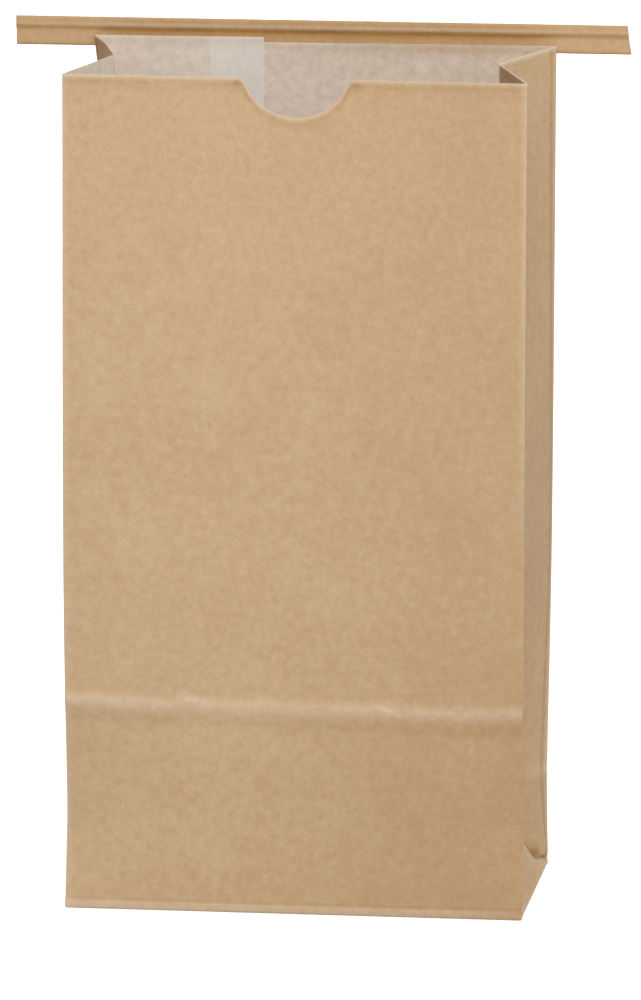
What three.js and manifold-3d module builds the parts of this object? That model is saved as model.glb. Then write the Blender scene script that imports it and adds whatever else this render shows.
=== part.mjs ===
// Stand-up coffee bag: a folded sheet of lined kraft paper with a block bottom,
// and a wired tie strip glued along the top of its back panel.
// Millimetres, +Z up. The front panel faces -Y, and the origin is the middle of
// the base, on the surface that the bag stands on.

import * as THREE from 'three';
import { mergeVertices } from 'three/addons/utils/BufferGeometryUtils.js';
import Module from 'manifold-3d';

const wasm = await Module();
wasm.setup();

// The sheet
const WIDTH = 152;             // front and back panels
const DEPTH = 70;              // one side gusset, spread flat
const HEIGHT = 279;            // base to mouth
const SHEET = 0.3;             // kraft and lining together

// The side gussets: how far the middle crease is drawn in
const APEX_TUCK = 18;          // where the base folds meet the crease
const MIDDLE_TUCK = 4;         // halfway up, where the side is nearly flat
const MIDDLE_HEIGHT = 120;
const RIGHT_MOUTH_TUCK = 14;
const LEFT_MOUTH_TUCK = 11;
const CREASE = 0.8;            // width of the rounded crease
const CORNER = 1.5;            // from a base corner to the start of its diagonal fold

// The panels
const BULGE = 1.5;             // outward, halfway up
const LEAN = 3;                // how far the mouth stands to the right of the base
const RIDGE_RISE = 0.9;        // the line that the folded base pressed into the front
const RIDGE_SPREAD = 3.5;
const RIDGE_DROP = 2;          // its right end is lower than its left end
const BACK_FOLD_SINK = 0.7;    // the crease across the back that the base folds up on
const BACK_FOLD_SPREAD = 2.5;

// The thumb notch in the front edge, a circle's segment
const NOTCH_WIDTH = 35;
const NOTCH_DEPTH = 12.8;

// The lap seam down the back panel, and the skew that it leaves in the mouth
const SEAM_INNER_EDGE = -21;   // where the sheet that lies inside ends
const SEAM_LAP = 18;
const MOUTH_SKEW = 1.7;
const SEAM_STEP = 0.05;        // half the width in which the sheet steps over its edge

// The block bottom: two flaps that lap in the middle over the folded sides
const FLAP_LAP = 16;

// The tie strip and its wires
const TIE_LENGTH = 204;
const TIE_HEIGHT = 9.6;
const TIE_LAP = 3.2;           // how much of its height is behind the back panel
const TIE_WEB = 0.7;
const TIE_END_SLANT = 1.3;     // the right end's top is cut back from its foot
const WIRE_DIAMETER = 0.8;
const WIRE_CLEARANCE = 0.2;
const WIRE_COVER = 0.5;        // paper around a wire channel
const WIRE_INSET = 0.5;        // from the strip's shortest end to the wire's end
const GLUE_GAP = 0.12;

// Sizes that follow from these
const HALF_WIDTH = WIDTH / 2;
const HALF_DEPTH = DEPTH / 2;
const PERIMETER = 2 * (WIDTH + DEPTH);
const FLOOR = 3 * SHEET;
const APEX_HEIGHT = Math.sqrt(HALF_DEPTH ** 2 - APEX_TUCK ** 2);
const RIDGE_HEIGHT = DEPTH;
const BACK_FOLD_HEIGHT = HALF_DEPTH;
const SEAM_OUTER_EDGE = SEAM_INNER_EDGE - SEAM_LAP;
const CUT_MARGIN = 10;         // how far a cutting solid runs past what it cuts

const { lerp, smoothstep } = THREE.MathUtils;

// A soft bump of height 1 around zero
function bump(offset, spread) {
  return Math.exp(-((offset / spread) ** 2));
}

// How far the empty bag leans to the right at a height
function leanAt(height) {
  return (LEAN * height) / HEIGHT;
}

// How far a gusset's crease is drawn in at a height
function tuckAt(height, mouthTuck) {
  if (height <= APEX_HEIGHT) {
    return (APEX_TUCK * height) / APEX_HEIGHT;
  }
  if (height <= MIDDLE_HEIGHT) {
    return lerp(APEX_TUCK, MIDDLE_TUCK, smoothstep(height, APEX_HEIGHT, MIDDLE_HEIGHT));
  }
  return lerp(MIDDLE_TUCK, mouthTuck, smoothstep(height, MIDDLE_HEIGHT, HEIGHT));
}

// Half the depth between two corner edges: each half of a gusset keeps its width
function cornerHalfDepth(height) {
  const tuck = tuckAt(height, (RIGHT_MOUTH_TUCK + LEFT_MOUTH_TUCK) / 2);
  if (height <= APEX_HEIGHT) {
    return lerp(HALF_DEPTH, APEX_HEIGHT, height / APEX_HEIGHT);
  }
  return Math.sqrt(HALF_DEPTH ** 2 - tuck ** 2);
}

// Half the depth between two panels at one place across them
function panelHalfDepth(x, height) {
  const share = height / HEIGHT;
  const middle = lerp(HALF_DEPTH, cornerHalfDepth(HEIGHT), share) + BULGE * Math.sin(Math.PI * share);
  return lerp(middle, cornerHalfDepth(height), (x / HALF_WIDTH) ** 4);
}

function frontPoint(x, height) {
  const ridgeHeight = RIDGE_HEIGHT - (RIDGE_DROP * x) / WIDTH;
  const ridge = RIDGE_RISE * bump(height - ridgeHeight, RIDGE_SPREAD);
  return new THREE.Vector2(x, -panelHalfDepth(x, height) - ridge);
}

function backPoint(x, height) {
  const sink = BACK_FOLD_SINK * bump(height - BACK_FOLD_HEIGHT, BACK_FOLD_SPREAD);
  return new THREE.Vector2(x, panelHalfDepth(x, height) - sink);
}

// A point on one of the two folds of a gusset: below the apex they are the
// diagonals of the base, and above it they are the two sides of the crease
function gussetPoint(side, end, height) {
  const mouthTuck = side > 0 ? RIGHT_MOUTH_TUCK : LEFT_MOUTH_TUCK;
  const rise = Math.min(1, height / APEX_HEIGHT);
  const halfGap = lerp(HALF_DEPTH - CORNER, CREASE / 2, rise);
  return new THREE.Vector2(side * (HALF_WIDTH - tuckAt(height, mouthTuck)), end * halfGap);
}

// Evenly spaced values from one end to the other, both ends included
function spread(start, end, count) {
  return Array.from({ length: count + 1 }, (_, i) => lerp(start, end, i / count));
}

// Places around the bag, counter-clockwise from the front left corner. Each has
// its distance along the spread-out sheet, its point at a height, and how far
// the sheet's outside and inside are set in by the lap seam.
function stations() {
  const list = [];
  const setIn = (x, edge) => (x < edge ? SHEET * smoothstep(x, -HALF_WIDTH, SEAM_OUTER_EDGE) : 0);
  for (const x of spread(-HALF_WIDTH, HALF_WIDTH, 14)) {
    list.push({ along: x + HALF_WIDTH, at: (height) => frontPoint(x, height), outer: 0, inner: 0 });
  }
  for (const end of [-1, 1]) {
    const along = WIDTH + HALF_DEPTH + end;
    list.push({ along, at: (height) => gussetPoint(1, end, height), outer: 0, inner: 0 });
  }
  const backPlaces = [
    ...spread(HALF_WIDTH, SEAM_INNER_EDGE + SEAM_STEP, 9),
    ...spread(SEAM_INNER_EDGE - SEAM_STEP, SEAM_OUTER_EDGE + SEAM_STEP, 2),
    ...spread(SEAM_OUTER_EDGE - SEAM_STEP, -HALF_WIDTH, 4),
  ];
  for (const x of backPlaces) {
    list.push({
      along: WIDTH + DEPTH + HALF_WIDTH - x,
      at: (height) => backPoint(x, height),
      outer: setIn(x, SEAM_OUTER_EDGE),
      inner: setIn(x, SEAM_INNER_EDGE),
    });
  }
  for (const end of [1, -1]) {
    const along = 2 * WIDTH + DEPTH + HALF_DEPTH - end;
    list.push({ along, at: (height) => gussetPoint(-1, end, height), outer: 0, inner: 0 });
  }
  return list;
}

// The mouth is cut square to a sheet that was lapped a little askew
function mouthLift(along) {
  const seam = WIDTH + DEPTH + HALF_WIDTH - SEAM_INNER_EDGE;
  const share = THREE.MathUtils.euclideanModulo(along - seam, PERIMETER) / PERIMETER;
  return MOUTH_SKEW * (0.5 - share);
}

// The same outline, moved inward by one distance
function insetLoop(points, distance) {
  return points.map((point, i) => {
    const before = points[(i + points.length - 1) % points.length];
    const after = points[(i + 1) % points.length];
    const edgeIn = point.clone().sub(before).normalize();
    const edgeOut = after.clone().sub(point).normalize();
    const normalIn = new THREE.Vector2(-edgeIn.y, edgeIn.x);
    const normalOut = new THREE.Vector2(-edgeOut.y, edgeOut.x);
    const reach = distance / (1 + normalIn.dot(normalOut));
    return point.clone().addScaledVector(normalIn.add(normalOut), reach);
  });
}

// A closed solid through a stack of outlines with the same number of points
function loft(loops) {
  const count = loops[0].length;
  const positions = loops.flat().flatMap((point) => point.toArray());
  const index = [];
  for (let level = 0; level + 1 < loops.length; level += 1) {
    for (let i = 0; i < count; i += 1) {
      const a = level * count + i;
      const b = level * count + ((i + 1) % count);
      index.push(a, b, b + count, a, b + count, a + count);
    }
  }
  const flat = (loop) => loop.map((point) => new THREE.Vector2(point.x, point.y));
  const top = (loops.length - 1) * count;
  for (const [a, b, c] of THREE.ShapeUtils.triangulateShape(flat(loops[0]), [])) {
    index.push(a, c, b);
  }
  for (const [a, b, c] of THREE.ShapeUtils.triangulateShape(flat(loops.at(-1)), [])) {
    index.push(top + a, top + b, top + c);
  }
  const geometry = new THREE.BufferGeometry();
  geometry.setAttribute('position', new THREE.Float32BufferAttribute(positions, 3));
  geometry.setIndex(index);
  return geometry;
}

function toManifold(geometry) {
  const bare = new THREE.BufferGeometry();
  bare.setAttribute('position', geometry.getAttribute('position'));
  bare.setIndex(geometry.index);
  const welded = mergeVertices(bare, 1e-4);
  return new wasm.Manifold(new wasm.Mesh({
    numProp: 3,
    vertProperties: Float32Array.from(welded.getAttribute('position').array),
    triVerts: Uint32Array.from(welded.index.array),
  }));
}

function toGeometry(solid) {
  const { numProp, vertProperties, triVerts } = solid.getMesh();
  const positions = [];
  for (let i = 0; i < vertProperties.length; i += numProp) {
    positions.push(vertProperties[i], vertProperties[i + 1], vertProperties[i + 2]);
  }
  const geometry = new THREE.BufferGeometry();
  geometry.setAttribute('position', new THREE.Float32BufferAttribute(positions, 3));
  geometry.setIndex(Array.from(triVerts));
  return geometry;
}

// Heights of the outlines, closer together at the folds and the ridge
function outlineHeights() {
  const ridgeReach = 3 * RIDGE_SPREAD;
  const foldReach = 2 * BACK_FOLD_SPREAD;
  const aroundFold = spread(BACK_FOLD_HEIGHT - foldReach / 2, BACK_FOLD_HEIGHT + foldReach, 5);
  return [
    ...spread(0, APEX_HEIGHT, 5),
    ...aroundFold.filter((height) => height > APEX_HEIGHT),
    ...spread(RIDGE_HEIGHT - ridgeReach, RIDGE_HEIGHT + ridgeReach, 12),
    ...spread(RIDGE_HEIGHT + ridgeReach, HEIGHT, 14).slice(1),
  ];
}

// The sheet's outside, from the base up to the cut mouth
function outsideOfSheet(places) {
  return outlineHeights().map((height) => places.map(({ along, at, outer }) => {
    const point = at(height);
    const lift = mouthLift(along) * (height / HEIGHT) ** 12;
    return new THREE.Vector3(point.x + leanAt(height), point.y - outer, height + lift);
  }));
}

// The room inside the sheet, from the floor to well above the mouth
function insideOfSheet(places) {
  const loops = [FLOOR, ...outlineHeights().slice(1)].map((height) => {
    const inset = insetLoop(places.map(({ at }) => at(height)), SHEET);
    return inset.map((point, i) => (
      new THREE.Vector3(point.x + leanAt(height), point.y - places[i].inner, height)
    ));
  });
  const above = loops.at(-1).map((point) => new THREE.Vector3(point.x, point.y, HEIGHT + CUT_MARGIN));
  return [...loops, above];
}

// The thumb notch: a round cut through the front panel alone
function notchCut() {
  const radius = ((NOTCH_WIDTH / 2) ** 2 + NOTCH_DEPTH ** 2) / (2 * NOTCH_DEPTH);
  const cut = new THREE.CylinderGeometry(radius, radius, HALF_DEPTH, 96);
  return cut.translate(leanAt(HEIGHT), -HALF_DEPTH, HEIGHT - NOTCH_DEPTH + radius);
}

// One flap of the base, with its sides cut back at 45 degrees from its corners
function flapSolid(side, thickness) {
  const reach = HALF_DEPTH + FLAP_LAP / 2;
  const corner = HALF_WIDTH + CUT_MARGIN;
  const start = HALF_DEPTH + CUT_MARGIN;
  const shape = new THREE.Shape([
    new THREE.Vector2(-corner, side * start),
    new THREE.Vector2(corner, side * start),
    new THREE.Vector2(HALF_WIDTH - reach, -side * (FLAP_LAP / 2)),
    new THREE.Vector2(reach - HALF_WIDTH, -side * (FLAP_LAP / 2)),
  ]);
  return extrudedUp(shape, thickness);
}

// A shape extruded from below the base up to a height
function extrudedUp(shape, top) {
  const geometry = new THREE.ExtrudeGeometry(shape, { depth: top + CUT_MARGIN, bevelEnabled: false });
  return toManifold(geometry.translate(0, 0, -CUT_MARGIN));
}

// What is cut from under the base, so that the front flap laps over the back
// flap, and both over the folded sides
function baseCut() {
  const wide = HALF_WIDTH + 2 * CUT_MARGIN;
  const deep = HALF_DEPTH + 2 * CUT_MARGIN;
  const around = new THREE.Shape([
    new THREE.Vector2(-wide, -deep),
    new THREE.Vector2(wide, -deep),
    new THREE.Vector2(wide, deep),
    new THREE.Vector2(-wide, deep),
  ]);
  const frontFlap = flapSolid(-1, FLOOR);
  const backFlap = flapSolid(1, FLOOR);
  const besideFront = extrudedUp(around, SHEET).subtract(frontFlap);
  const besideBoth = extrudedUp(around, 2 * SHEET).subtract(frontFlap).subtract(backFlap);
  return besideFront.add(besideBoth);
}

function bagGeometry() {
  const places = stations();
  const outside = toManifold(loft(outsideOfSheet(places)));
  const inside = toManifold(loft(insideOfSheet(places)));
  const walls = outside.subtract(inside).subtract(toManifold(notchCut()));
  return toGeometry(walls.subtract(baseCut()));
}

// The tie strip: a flat web between two raised edges, each with a wire channel
const CHANNEL_RADIUS = WIRE_DIAMETER / 2 + WIRE_CLEARANCE;
const EDGE_RADIUS = CHANNEL_RADIUS + WIRE_COVER;
const WIRE_OFFSET = TIE_HEIGHT / 2 - EDGE_RADIUS;

// From an extrusion's own axes to depth, height and length along X
const ALONG_X = new THREE.Matrix4().makeBasis(
  new THREE.Vector3(0, 1, 0),
  new THREE.Vector3(0, 0, 1),
  new THREE.Vector3(1, 0, 0),
);

function tieStripGeometry() {
  const meet = Math.asin(TIE_WEB / 2 / EDGE_RADIUS);
  const section = new THREE.Shape();
  section.absarc(0, WIRE_OFFSET, EDGE_RADIUS, -Math.PI / 2 + meet, 1.5 * Math.PI - meet, false);
  section.absarc(0, -WIRE_OFFSET, EDGE_RADIUS, Math.PI / 2 + meet, 2.5 * Math.PI - meet, false);
  section.closePath();
  for (const height of [WIRE_OFFSET, -WIRE_OFFSET]) {
    const channel = new THREE.Path();
    channel.absarc(0, height, CHANNEL_RADIUS, 0, 2 * Math.PI, true);
    section.holes.push(channel);
  }
  const options = { depth: TIE_LENGTH, bevelEnabled: false, curveSegments: 20 };
  const strip = new THREE.ExtrudeGeometry(section, options);
  strip.translate(0, 0, -TIE_LENGTH / 2).applyMatrix4(ALONG_X);
  return slantRightEnd(strip);
}

function slantRightEnd(strip) {
  const position = strip.getAttribute('position');
  for (let i = 0; i < position.count; i += 1) {
    if (position.getX(i) > 0) {
      const rise = position.getZ(i) / TIE_HEIGHT + 0.5;
      position.setX(i, position.getX(i) - TIE_END_SLANT * rise);
    }
  }
  return strip;
}

function wireGeometry() {
  const length = TIE_LENGTH - 2 * (TIE_END_SLANT + WIRE_INSET);
  return new THREE.CylinderGeometry(WIRE_DIAMETER / 2, WIRE_DIAMETER / 2, length, 20).rotateZ(Math.PI / 2);
}

function piece(name, geometry, finish) {
  const mesh = new THREE.Mesh(geometry, new THREE.MeshStandardMaterial(finish));
  mesh.name = name;
  return mesh;
}

const kraft = { color: 0xbe9e75, roughness: 0.85, metalness: 0 };
const tiePaper = { color: 0xc09a6c, roughness: 0.7, metalness: 0 };
const steel = { color: 0xa8a9ab, roughness: 0.4, metalness: 1 };

const upperWire = piece('tie_wire_upper', wireGeometry(), steel);
upperWire.position.z = WIRE_OFFSET;

const lowerWire = piece('tie_wire_lower', wireGeometry(), steel);
lowerWire.position.z = -WIRE_OFFSET;

const tie = new THREE.Group();
tie.add(piece('tie_strip', tieStripGeometry(), tiePaper), upperWire, lowerWire);
const gluedHeight = HEIGHT - TIE_LAP;
tie.position.set(
  leanAt(gluedHeight),
  panelHalfDepth(0, gluedHeight) + GLUE_GAP + EDGE_RADIUS,
  gluedHeight + TIE_HEIGHT / 2,
);

const coffeeBag = new THREE.Group();
coffeeBag.add(piece('bag', bagGeometry(), kraft), tie);

export default coffeeBag;
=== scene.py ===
"""Builds the look of a stand-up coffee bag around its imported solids.

The bag is one folded sheet of lined kraft paper, and its tie is a paper strip over two wires. Both are
made here as fine meshes of the same form as the solids that they stand for. Lengths are millimetres
until a mesh is made, and colours are written as they look, in red, green and blue up to 255.
"""

import logging
import math
from dataclasses import astuple, dataclass, field
from enum import Enum, IntEnum
from functools import partial, reduce
from typing import Any, Iterable, Sequence

import bpy
import numpy as np
from mathutils import Matrix, Vector, geometry, noise


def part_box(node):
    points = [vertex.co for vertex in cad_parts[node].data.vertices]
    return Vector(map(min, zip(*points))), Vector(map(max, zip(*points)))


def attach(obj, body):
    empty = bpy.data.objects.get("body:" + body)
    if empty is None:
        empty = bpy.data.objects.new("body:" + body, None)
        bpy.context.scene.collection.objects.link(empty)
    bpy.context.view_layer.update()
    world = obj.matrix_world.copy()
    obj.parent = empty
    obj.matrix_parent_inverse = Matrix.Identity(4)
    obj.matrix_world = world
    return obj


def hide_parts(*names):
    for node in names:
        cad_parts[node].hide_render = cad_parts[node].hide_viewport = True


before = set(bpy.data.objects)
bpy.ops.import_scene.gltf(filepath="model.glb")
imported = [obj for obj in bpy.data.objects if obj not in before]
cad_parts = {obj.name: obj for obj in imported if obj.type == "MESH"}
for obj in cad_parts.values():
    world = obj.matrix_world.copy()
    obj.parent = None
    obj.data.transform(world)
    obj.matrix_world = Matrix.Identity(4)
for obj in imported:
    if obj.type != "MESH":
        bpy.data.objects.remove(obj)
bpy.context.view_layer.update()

LOG = logging.getLogger("coffee_bag")
MM = 0.001
BODY = "root"
IMAGE_HEIGHT = 1000
SHARP_ANGLE = math.radians(40)
WHITE = (1.0, 1.0, 1.0, 1.0)
MID_BEND = 0.5
BENDS = (0.15, 0.35, MID_BEND, 0.65, 0.85)

Colour = tuple[int, int, int]
Span = tuple[float, float]
Triple = tuple[float, float, float]


class Solid(Enum):
    """Names of the solids in the frame."""

    BAG = "bag"
    TIE = "tie_strip"
    UPPER_WIRE = "tie_wire_upper"
    LOWER_WIRE = "tie_wire_lower"


class Slot(Enum):
    """Material slots of the record."""

    KRAFT = "lined_kraft"
    TIE = "tie_paper"


class Face(IntEnum):
    """Which finish a face of a paper piece has, as its material index."""

    OUTSIDE = 0
    LINING = 1
    CUT_EDGE = 2


class Mask(Enum):
    """Values kept at each point of a mesh for the finishes."""

    # Paler: scuffs on rims and edges, and painted highlight and painted light.
    WORN = "worn"
    # Darker: press lines, and painted shade in folds, recesses, beside edges and away from the light.
    PRESSED = "pressed"
    # Paler: the doubled sheet at the lap seam, and painted light on the lining left of it.
    LAP = "lap"


class Part(Enum):
    """Kinds of stretch that the sheet is walked through around the bag."""

    PANEL = "panel"
    CORNER = "corner"
    HALF = "half of a gusset"
    FOLD = "fold of a gusset"
    MIDDLE = "between the folds"


Masks = dict[Mask, np.ndarray]


def lerp(start: Any, end: Any, share: Any) -> Any:
    """Returns the value at a share of the way from start to end."""
    return start + (end - start) * share


def smoothstep(value: Any, start: Any, end: Any) -> Any:
    """Returns a smooth ramp from 0 at start to 1 at end."""
    share = np.clip((value - start) / (end - start), 0.0, 1.0)
    return share * share * (3.0 - 2.0 * share)


def bump(offset: Any, width: Any) -> Any:
    """Returns a soft bump of height 1 around an offset of zero."""
    return np.exp(-((offset / width) ** 2))


def even(start: float, end: float, count: int) -> list[float]:
    """Returns evenly spaced values, with both ends, in count steps."""
    return list(np.linspace(start, end, count + 1))


def stretches(start: float, *ends: tuple[float, int]) -> list[float]:
    """Gives values that are evenly spaced within each of some stretches.

    Args:
        start: The first value.
        ends: The last value of each stretch, and its number of steps.

    Returns:
        The values in order.
    """
    found = [start]
    for end, count in ends:
        found += even(found[-1], end, count)[1:]
    return found


def linear(colour: Colour) -> tuple[float, float, float, float]:
    """Turns a colour as it looks into the values that a shader socket holds.

    Args:
        colour: Red, green and blue, up to 255.

    Returns:
        Linear red, green and blue, and full alpha.
    """
    shares = [part / 255.0 for part in colour]
    parts = [part / 12.92 if part <= 0.04045 else ((part + 0.055) / 1.055) ** 2.4 for part in shares]
    return (parts[0], parts[1], parts[2], 1.0)


def bezier(before: np.ndarray, corner: np.ndarray, after: np.ndarray, share: float) -> np.ndarray:
    """Returns the points at one share of the round bend between two straight stretches."""
    return (1 - share) ** 2 * before + 2 * share * (1 - share) * corner + share**2 * after


def add_object(name: str, data: bpy.types.ID) -> bpy.types.Object:
    """Adds an object to the scene.

    Args:
        name: The object's name.
        data: Its mesh, lamp or camera.

    Returns:
        The new object.
    """
    made = bpy.data.objects.new(name, data)
    bpy.context.scene.collection.objects.link(made)
    return made


@dataclass(frozen=True)
class Mark:
    """A soft line.

    Attributes:
        strength: How strong it is along its middle.
        middle: Where its middle is.
        width: How soon it fades to both sides.
    """

    strength: Any
    middle: Any
    width: Any

    def at(self, place: Any) -> Any:
        """Returns how strong the line is at each place."""
        return self.strength * bump(place - self.middle, self.width)

    def toward(self, other: "Mark", share: Any) -> "Mark":
        """Returns a line that is a share of the way to another one."""
        return Mark(*(lerp(own, its, share) for own, its in zip(astuple(self), astuple(other))))


@dataclass(frozen=True)
class Fade:
    """A value that changes softly from one place to another.

    Attributes:
        start: Where it starts to change.
        end: Where it has changed.
        before: The value up to the start.
        after: The value past the end.
    """

    start: float
    end: float
    before: float = 0.0
    after: float = 1.0

    def at(self, place: Any) -> Any:
        """Returns the value at each place."""
        return lerp(self.before, self.after, smoothstep(place, self.start, self.end))


@dataclass(frozen=True)
class Ripple:
    """Smooth unevenness, the same on each run.

    Attributes:
        size: How far apart its swells are.
        rise: How far they go up and down.
        seed: Where in the noise it is taken from.
    """

    size: float
    rise: float
    seed: float

    def at(self, points: np.ndarray) -> np.ndarray:
        """Gives the unevenness at some points.

        Args:
            points: Places in millimetres, with x, y and z last.

        Returns:
            Values up to about the rise, one for each place.
        """
        flat = points.reshape(-1, 3) / self.size + self.seed
        values = [noise.noise(Vector(place)) for place in flat]
        return self.rise * np.array(values).reshape(points.shape[:-1])

    def across(self, x: float) -> float:
        """Returns the unevenness at one x of a level line."""
        return float(self.at(np.array([x, 0.0, 0.0])))


@dataclass
class MeshParts:
    """The points, faces and masks of one piece, gathered part by part."""

    points: list[np.ndarray] = field(default_factory=list)
    faces: list[tuple[int, ...]] = field(default_factory=list)
    finishes: list[int] = field(default_factory=list)
    masks: dict[Mask, list[np.ndarray]] = field(default_factory=dict)

    def add_points(self, points: np.ndarray, masks: Masks | None = None) -> np.ndarray:
        """Adds points.

        Args:
            points: Places in millimetres, with x, y and z last.
            masks: A value for each place, under each mask that isn't zero.

        Returns:
            The number of each point, in the same arrangement.
        """
        start = sum(len(block) for block in self.points)
        shape = points.shape[:-1]
        count = int(np.prod(shape))
        self.points.append(points.reshape(-1, 3))
        for mask in Mask:
            values = (masks or {}).get(mask, np.zeros(shape))
            self.masks.setdefault(mask, []).append(np.asarray(values, float).reshape(-1))
        return np.arange(start, start + count).reshape(shape)

    def add_face(self, corners: Iterable[int], finish: Face) -> None:
        """Adds one face through the numbered points."""
        self.faces.append(tuple(int(corner) for corner in corners))
        self.finishes.append(int(finish))

    def add_strips(self, numbers: np.ndarray, finish: Face, outward: bool = True) -> None:
        """Adds the faces of a grid whose columns close into a loop.

        Args:
            numbers: Point numbers, as rows of columns.
            finish: The finish of its faces.
            outward: Whether the faces look away from the middle of the loop.
        """
        after = np.roll(numbers, -1, axis=1)
        quads = np.stack([numbers[:-1], after[:-1], after[1:], numbers[1:]], axis=-1).reshape(-1, 4)
        if not outward:
            quads = quads[:, ::-1]
        self.faces.extend(map(tuple, quads.tolist()))
        self.finishes.extend([int(finish)] * len(quads))

    def build(self, name: str, materials: Sequence[bpy.types.Material]) -> bpy.types.Object:
        """Makes the object.

        Args:
            name: The piece's name.
            materials: Its materials, in the order of Face.

        Returns:
            The new object, in the scene and in metres.
        """
        mesh = bpy.data.meshes.new(name)
        mesh.from_pydata((np.concatenate(self.points) * MM).tolist(), [], self.faces)
        for material in materials:
            mesh.materials.append(material)
        mesh.polygons.foreach_set("material_index", self.finishes)
        mesh.shade_smooth()
        for mask, blocks in self.masks.items():
            values = np.clip(np.concatenate(blocks), 0.0, 1.0).astype(np.float32)
            mesh.attributes.new(mask.value, "FLOAT", "POINT").data.foreach_set("value", values)
        mesh.set_sharp_from_angle(angle=SHARP_ANGLE)
        mesh.update()
        return add_object(name, mesh)


@dataclass(frozen=True)
class Station:
    """One place around the bag.

    Attributes:
        part: The kind of stretch that it is on.
        side: -1 for the left, 1 for the right, and 0 on a panel.
        end: -1 for the front, 1 for the back, and 0 between a gusset's folds.
        share: How far across the stretch it is; on a panel, its x.
    """

    part: Part
    side: int
    end: int
    share: float

    @property
    def front(self) -> bool:
        """Whether it is on the front panel."""
        return self.part is Part.PANEL and self.end < 0

    @property
    def back(self) -> bool:
        """Whether it is on the back panel."""
        return self.part is Part.PANEL and self.end > 0

    @property
    def hand(self) -> int:
        """Which half of the bag it is in: -1 for the left one and 1 for the right one."""
        return self.side or (1 if self.share > 0 else -1)


@dataclass(frozen=True)
class ThumbNotch:
    """The round notch in the front edge.

    Attributes:
        width: Its width at the edge.
        depth: How far it is cut down.
        middle: The x of its middle.
        rounding: How round its two shoulders are.
        reach: How far down the rows of the front follow its form.
        fade: How its cut fades out beyond a shoulder.
        arc_steps: The number of columns across it.
        shoulder_span: Where beyond a shoulder the columns are close.
        shoulder_steps: The number of those columns.
        plain_gap: How far beyond a shoulder the plain columns start.
    """

    width: float = 35.0
    depth: float = 12.8
    middle: float = 0.8
    rounding: float = 1.6
    reach: float = 45.0
    fade: Fade = Fade(1.0, 5.0, 1.0, 0.0)
    arc_steps: int = 36
    shoulder_span: Span = (0.4, 4.8)
    shoulder_steps: int = 10
    plain_gap: float = 6.0

    @property
    def half(self) -> float:
        """Half of its width."""
        return self.width / 2

    @property
    def radius(self) -> float:
        """The radius of its arc."""
        return (self.half**2 + self.depth**2) / (2 * self.depth)

    def beyond(self, x: float) -> float:
        """Returns how far one x is beyond the nearer shoulder."""
        return abs(x - self.middle) - self.half

    def cut(self, x: float) -> float:
        """Gives how far the front edge is cut down.

        Args:
            x: The place along the edge.

        Returns:
            The depth of the arc, carried on straight past its ends and rounded into the edge.
        """
        rise = self.radius - self.depth
        inside = min(self.beyond(x), 0.0) + self.half
        past = max(self.beyond(x), 0.0)
        cut = math.sqrt(self.radius**2 - inside**2) - rise - past * self.half / rise
        return (cut + math.hypot(cut, self.rounding)) / 2 * float(self.fade.at(self.beyond(x)))

    def places(self) -> list[float]:
        """Gives the columns across the notch and its shoulders.

        Returns:
            The x of each column.
        """
        swing = math.asin(self.half / self.radius)
        arc = [self.radius * math.sin(angle) for angle in even(-swing, swing, self.arc_steps)]
        steps = even(*self.shoulder_span, self.shoulder_steps)
        shoulders = [way * (self.half + step) for way in (-1, 1) for step in steps]
        return [self.middle + place for place in arc + shoulders]


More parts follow.
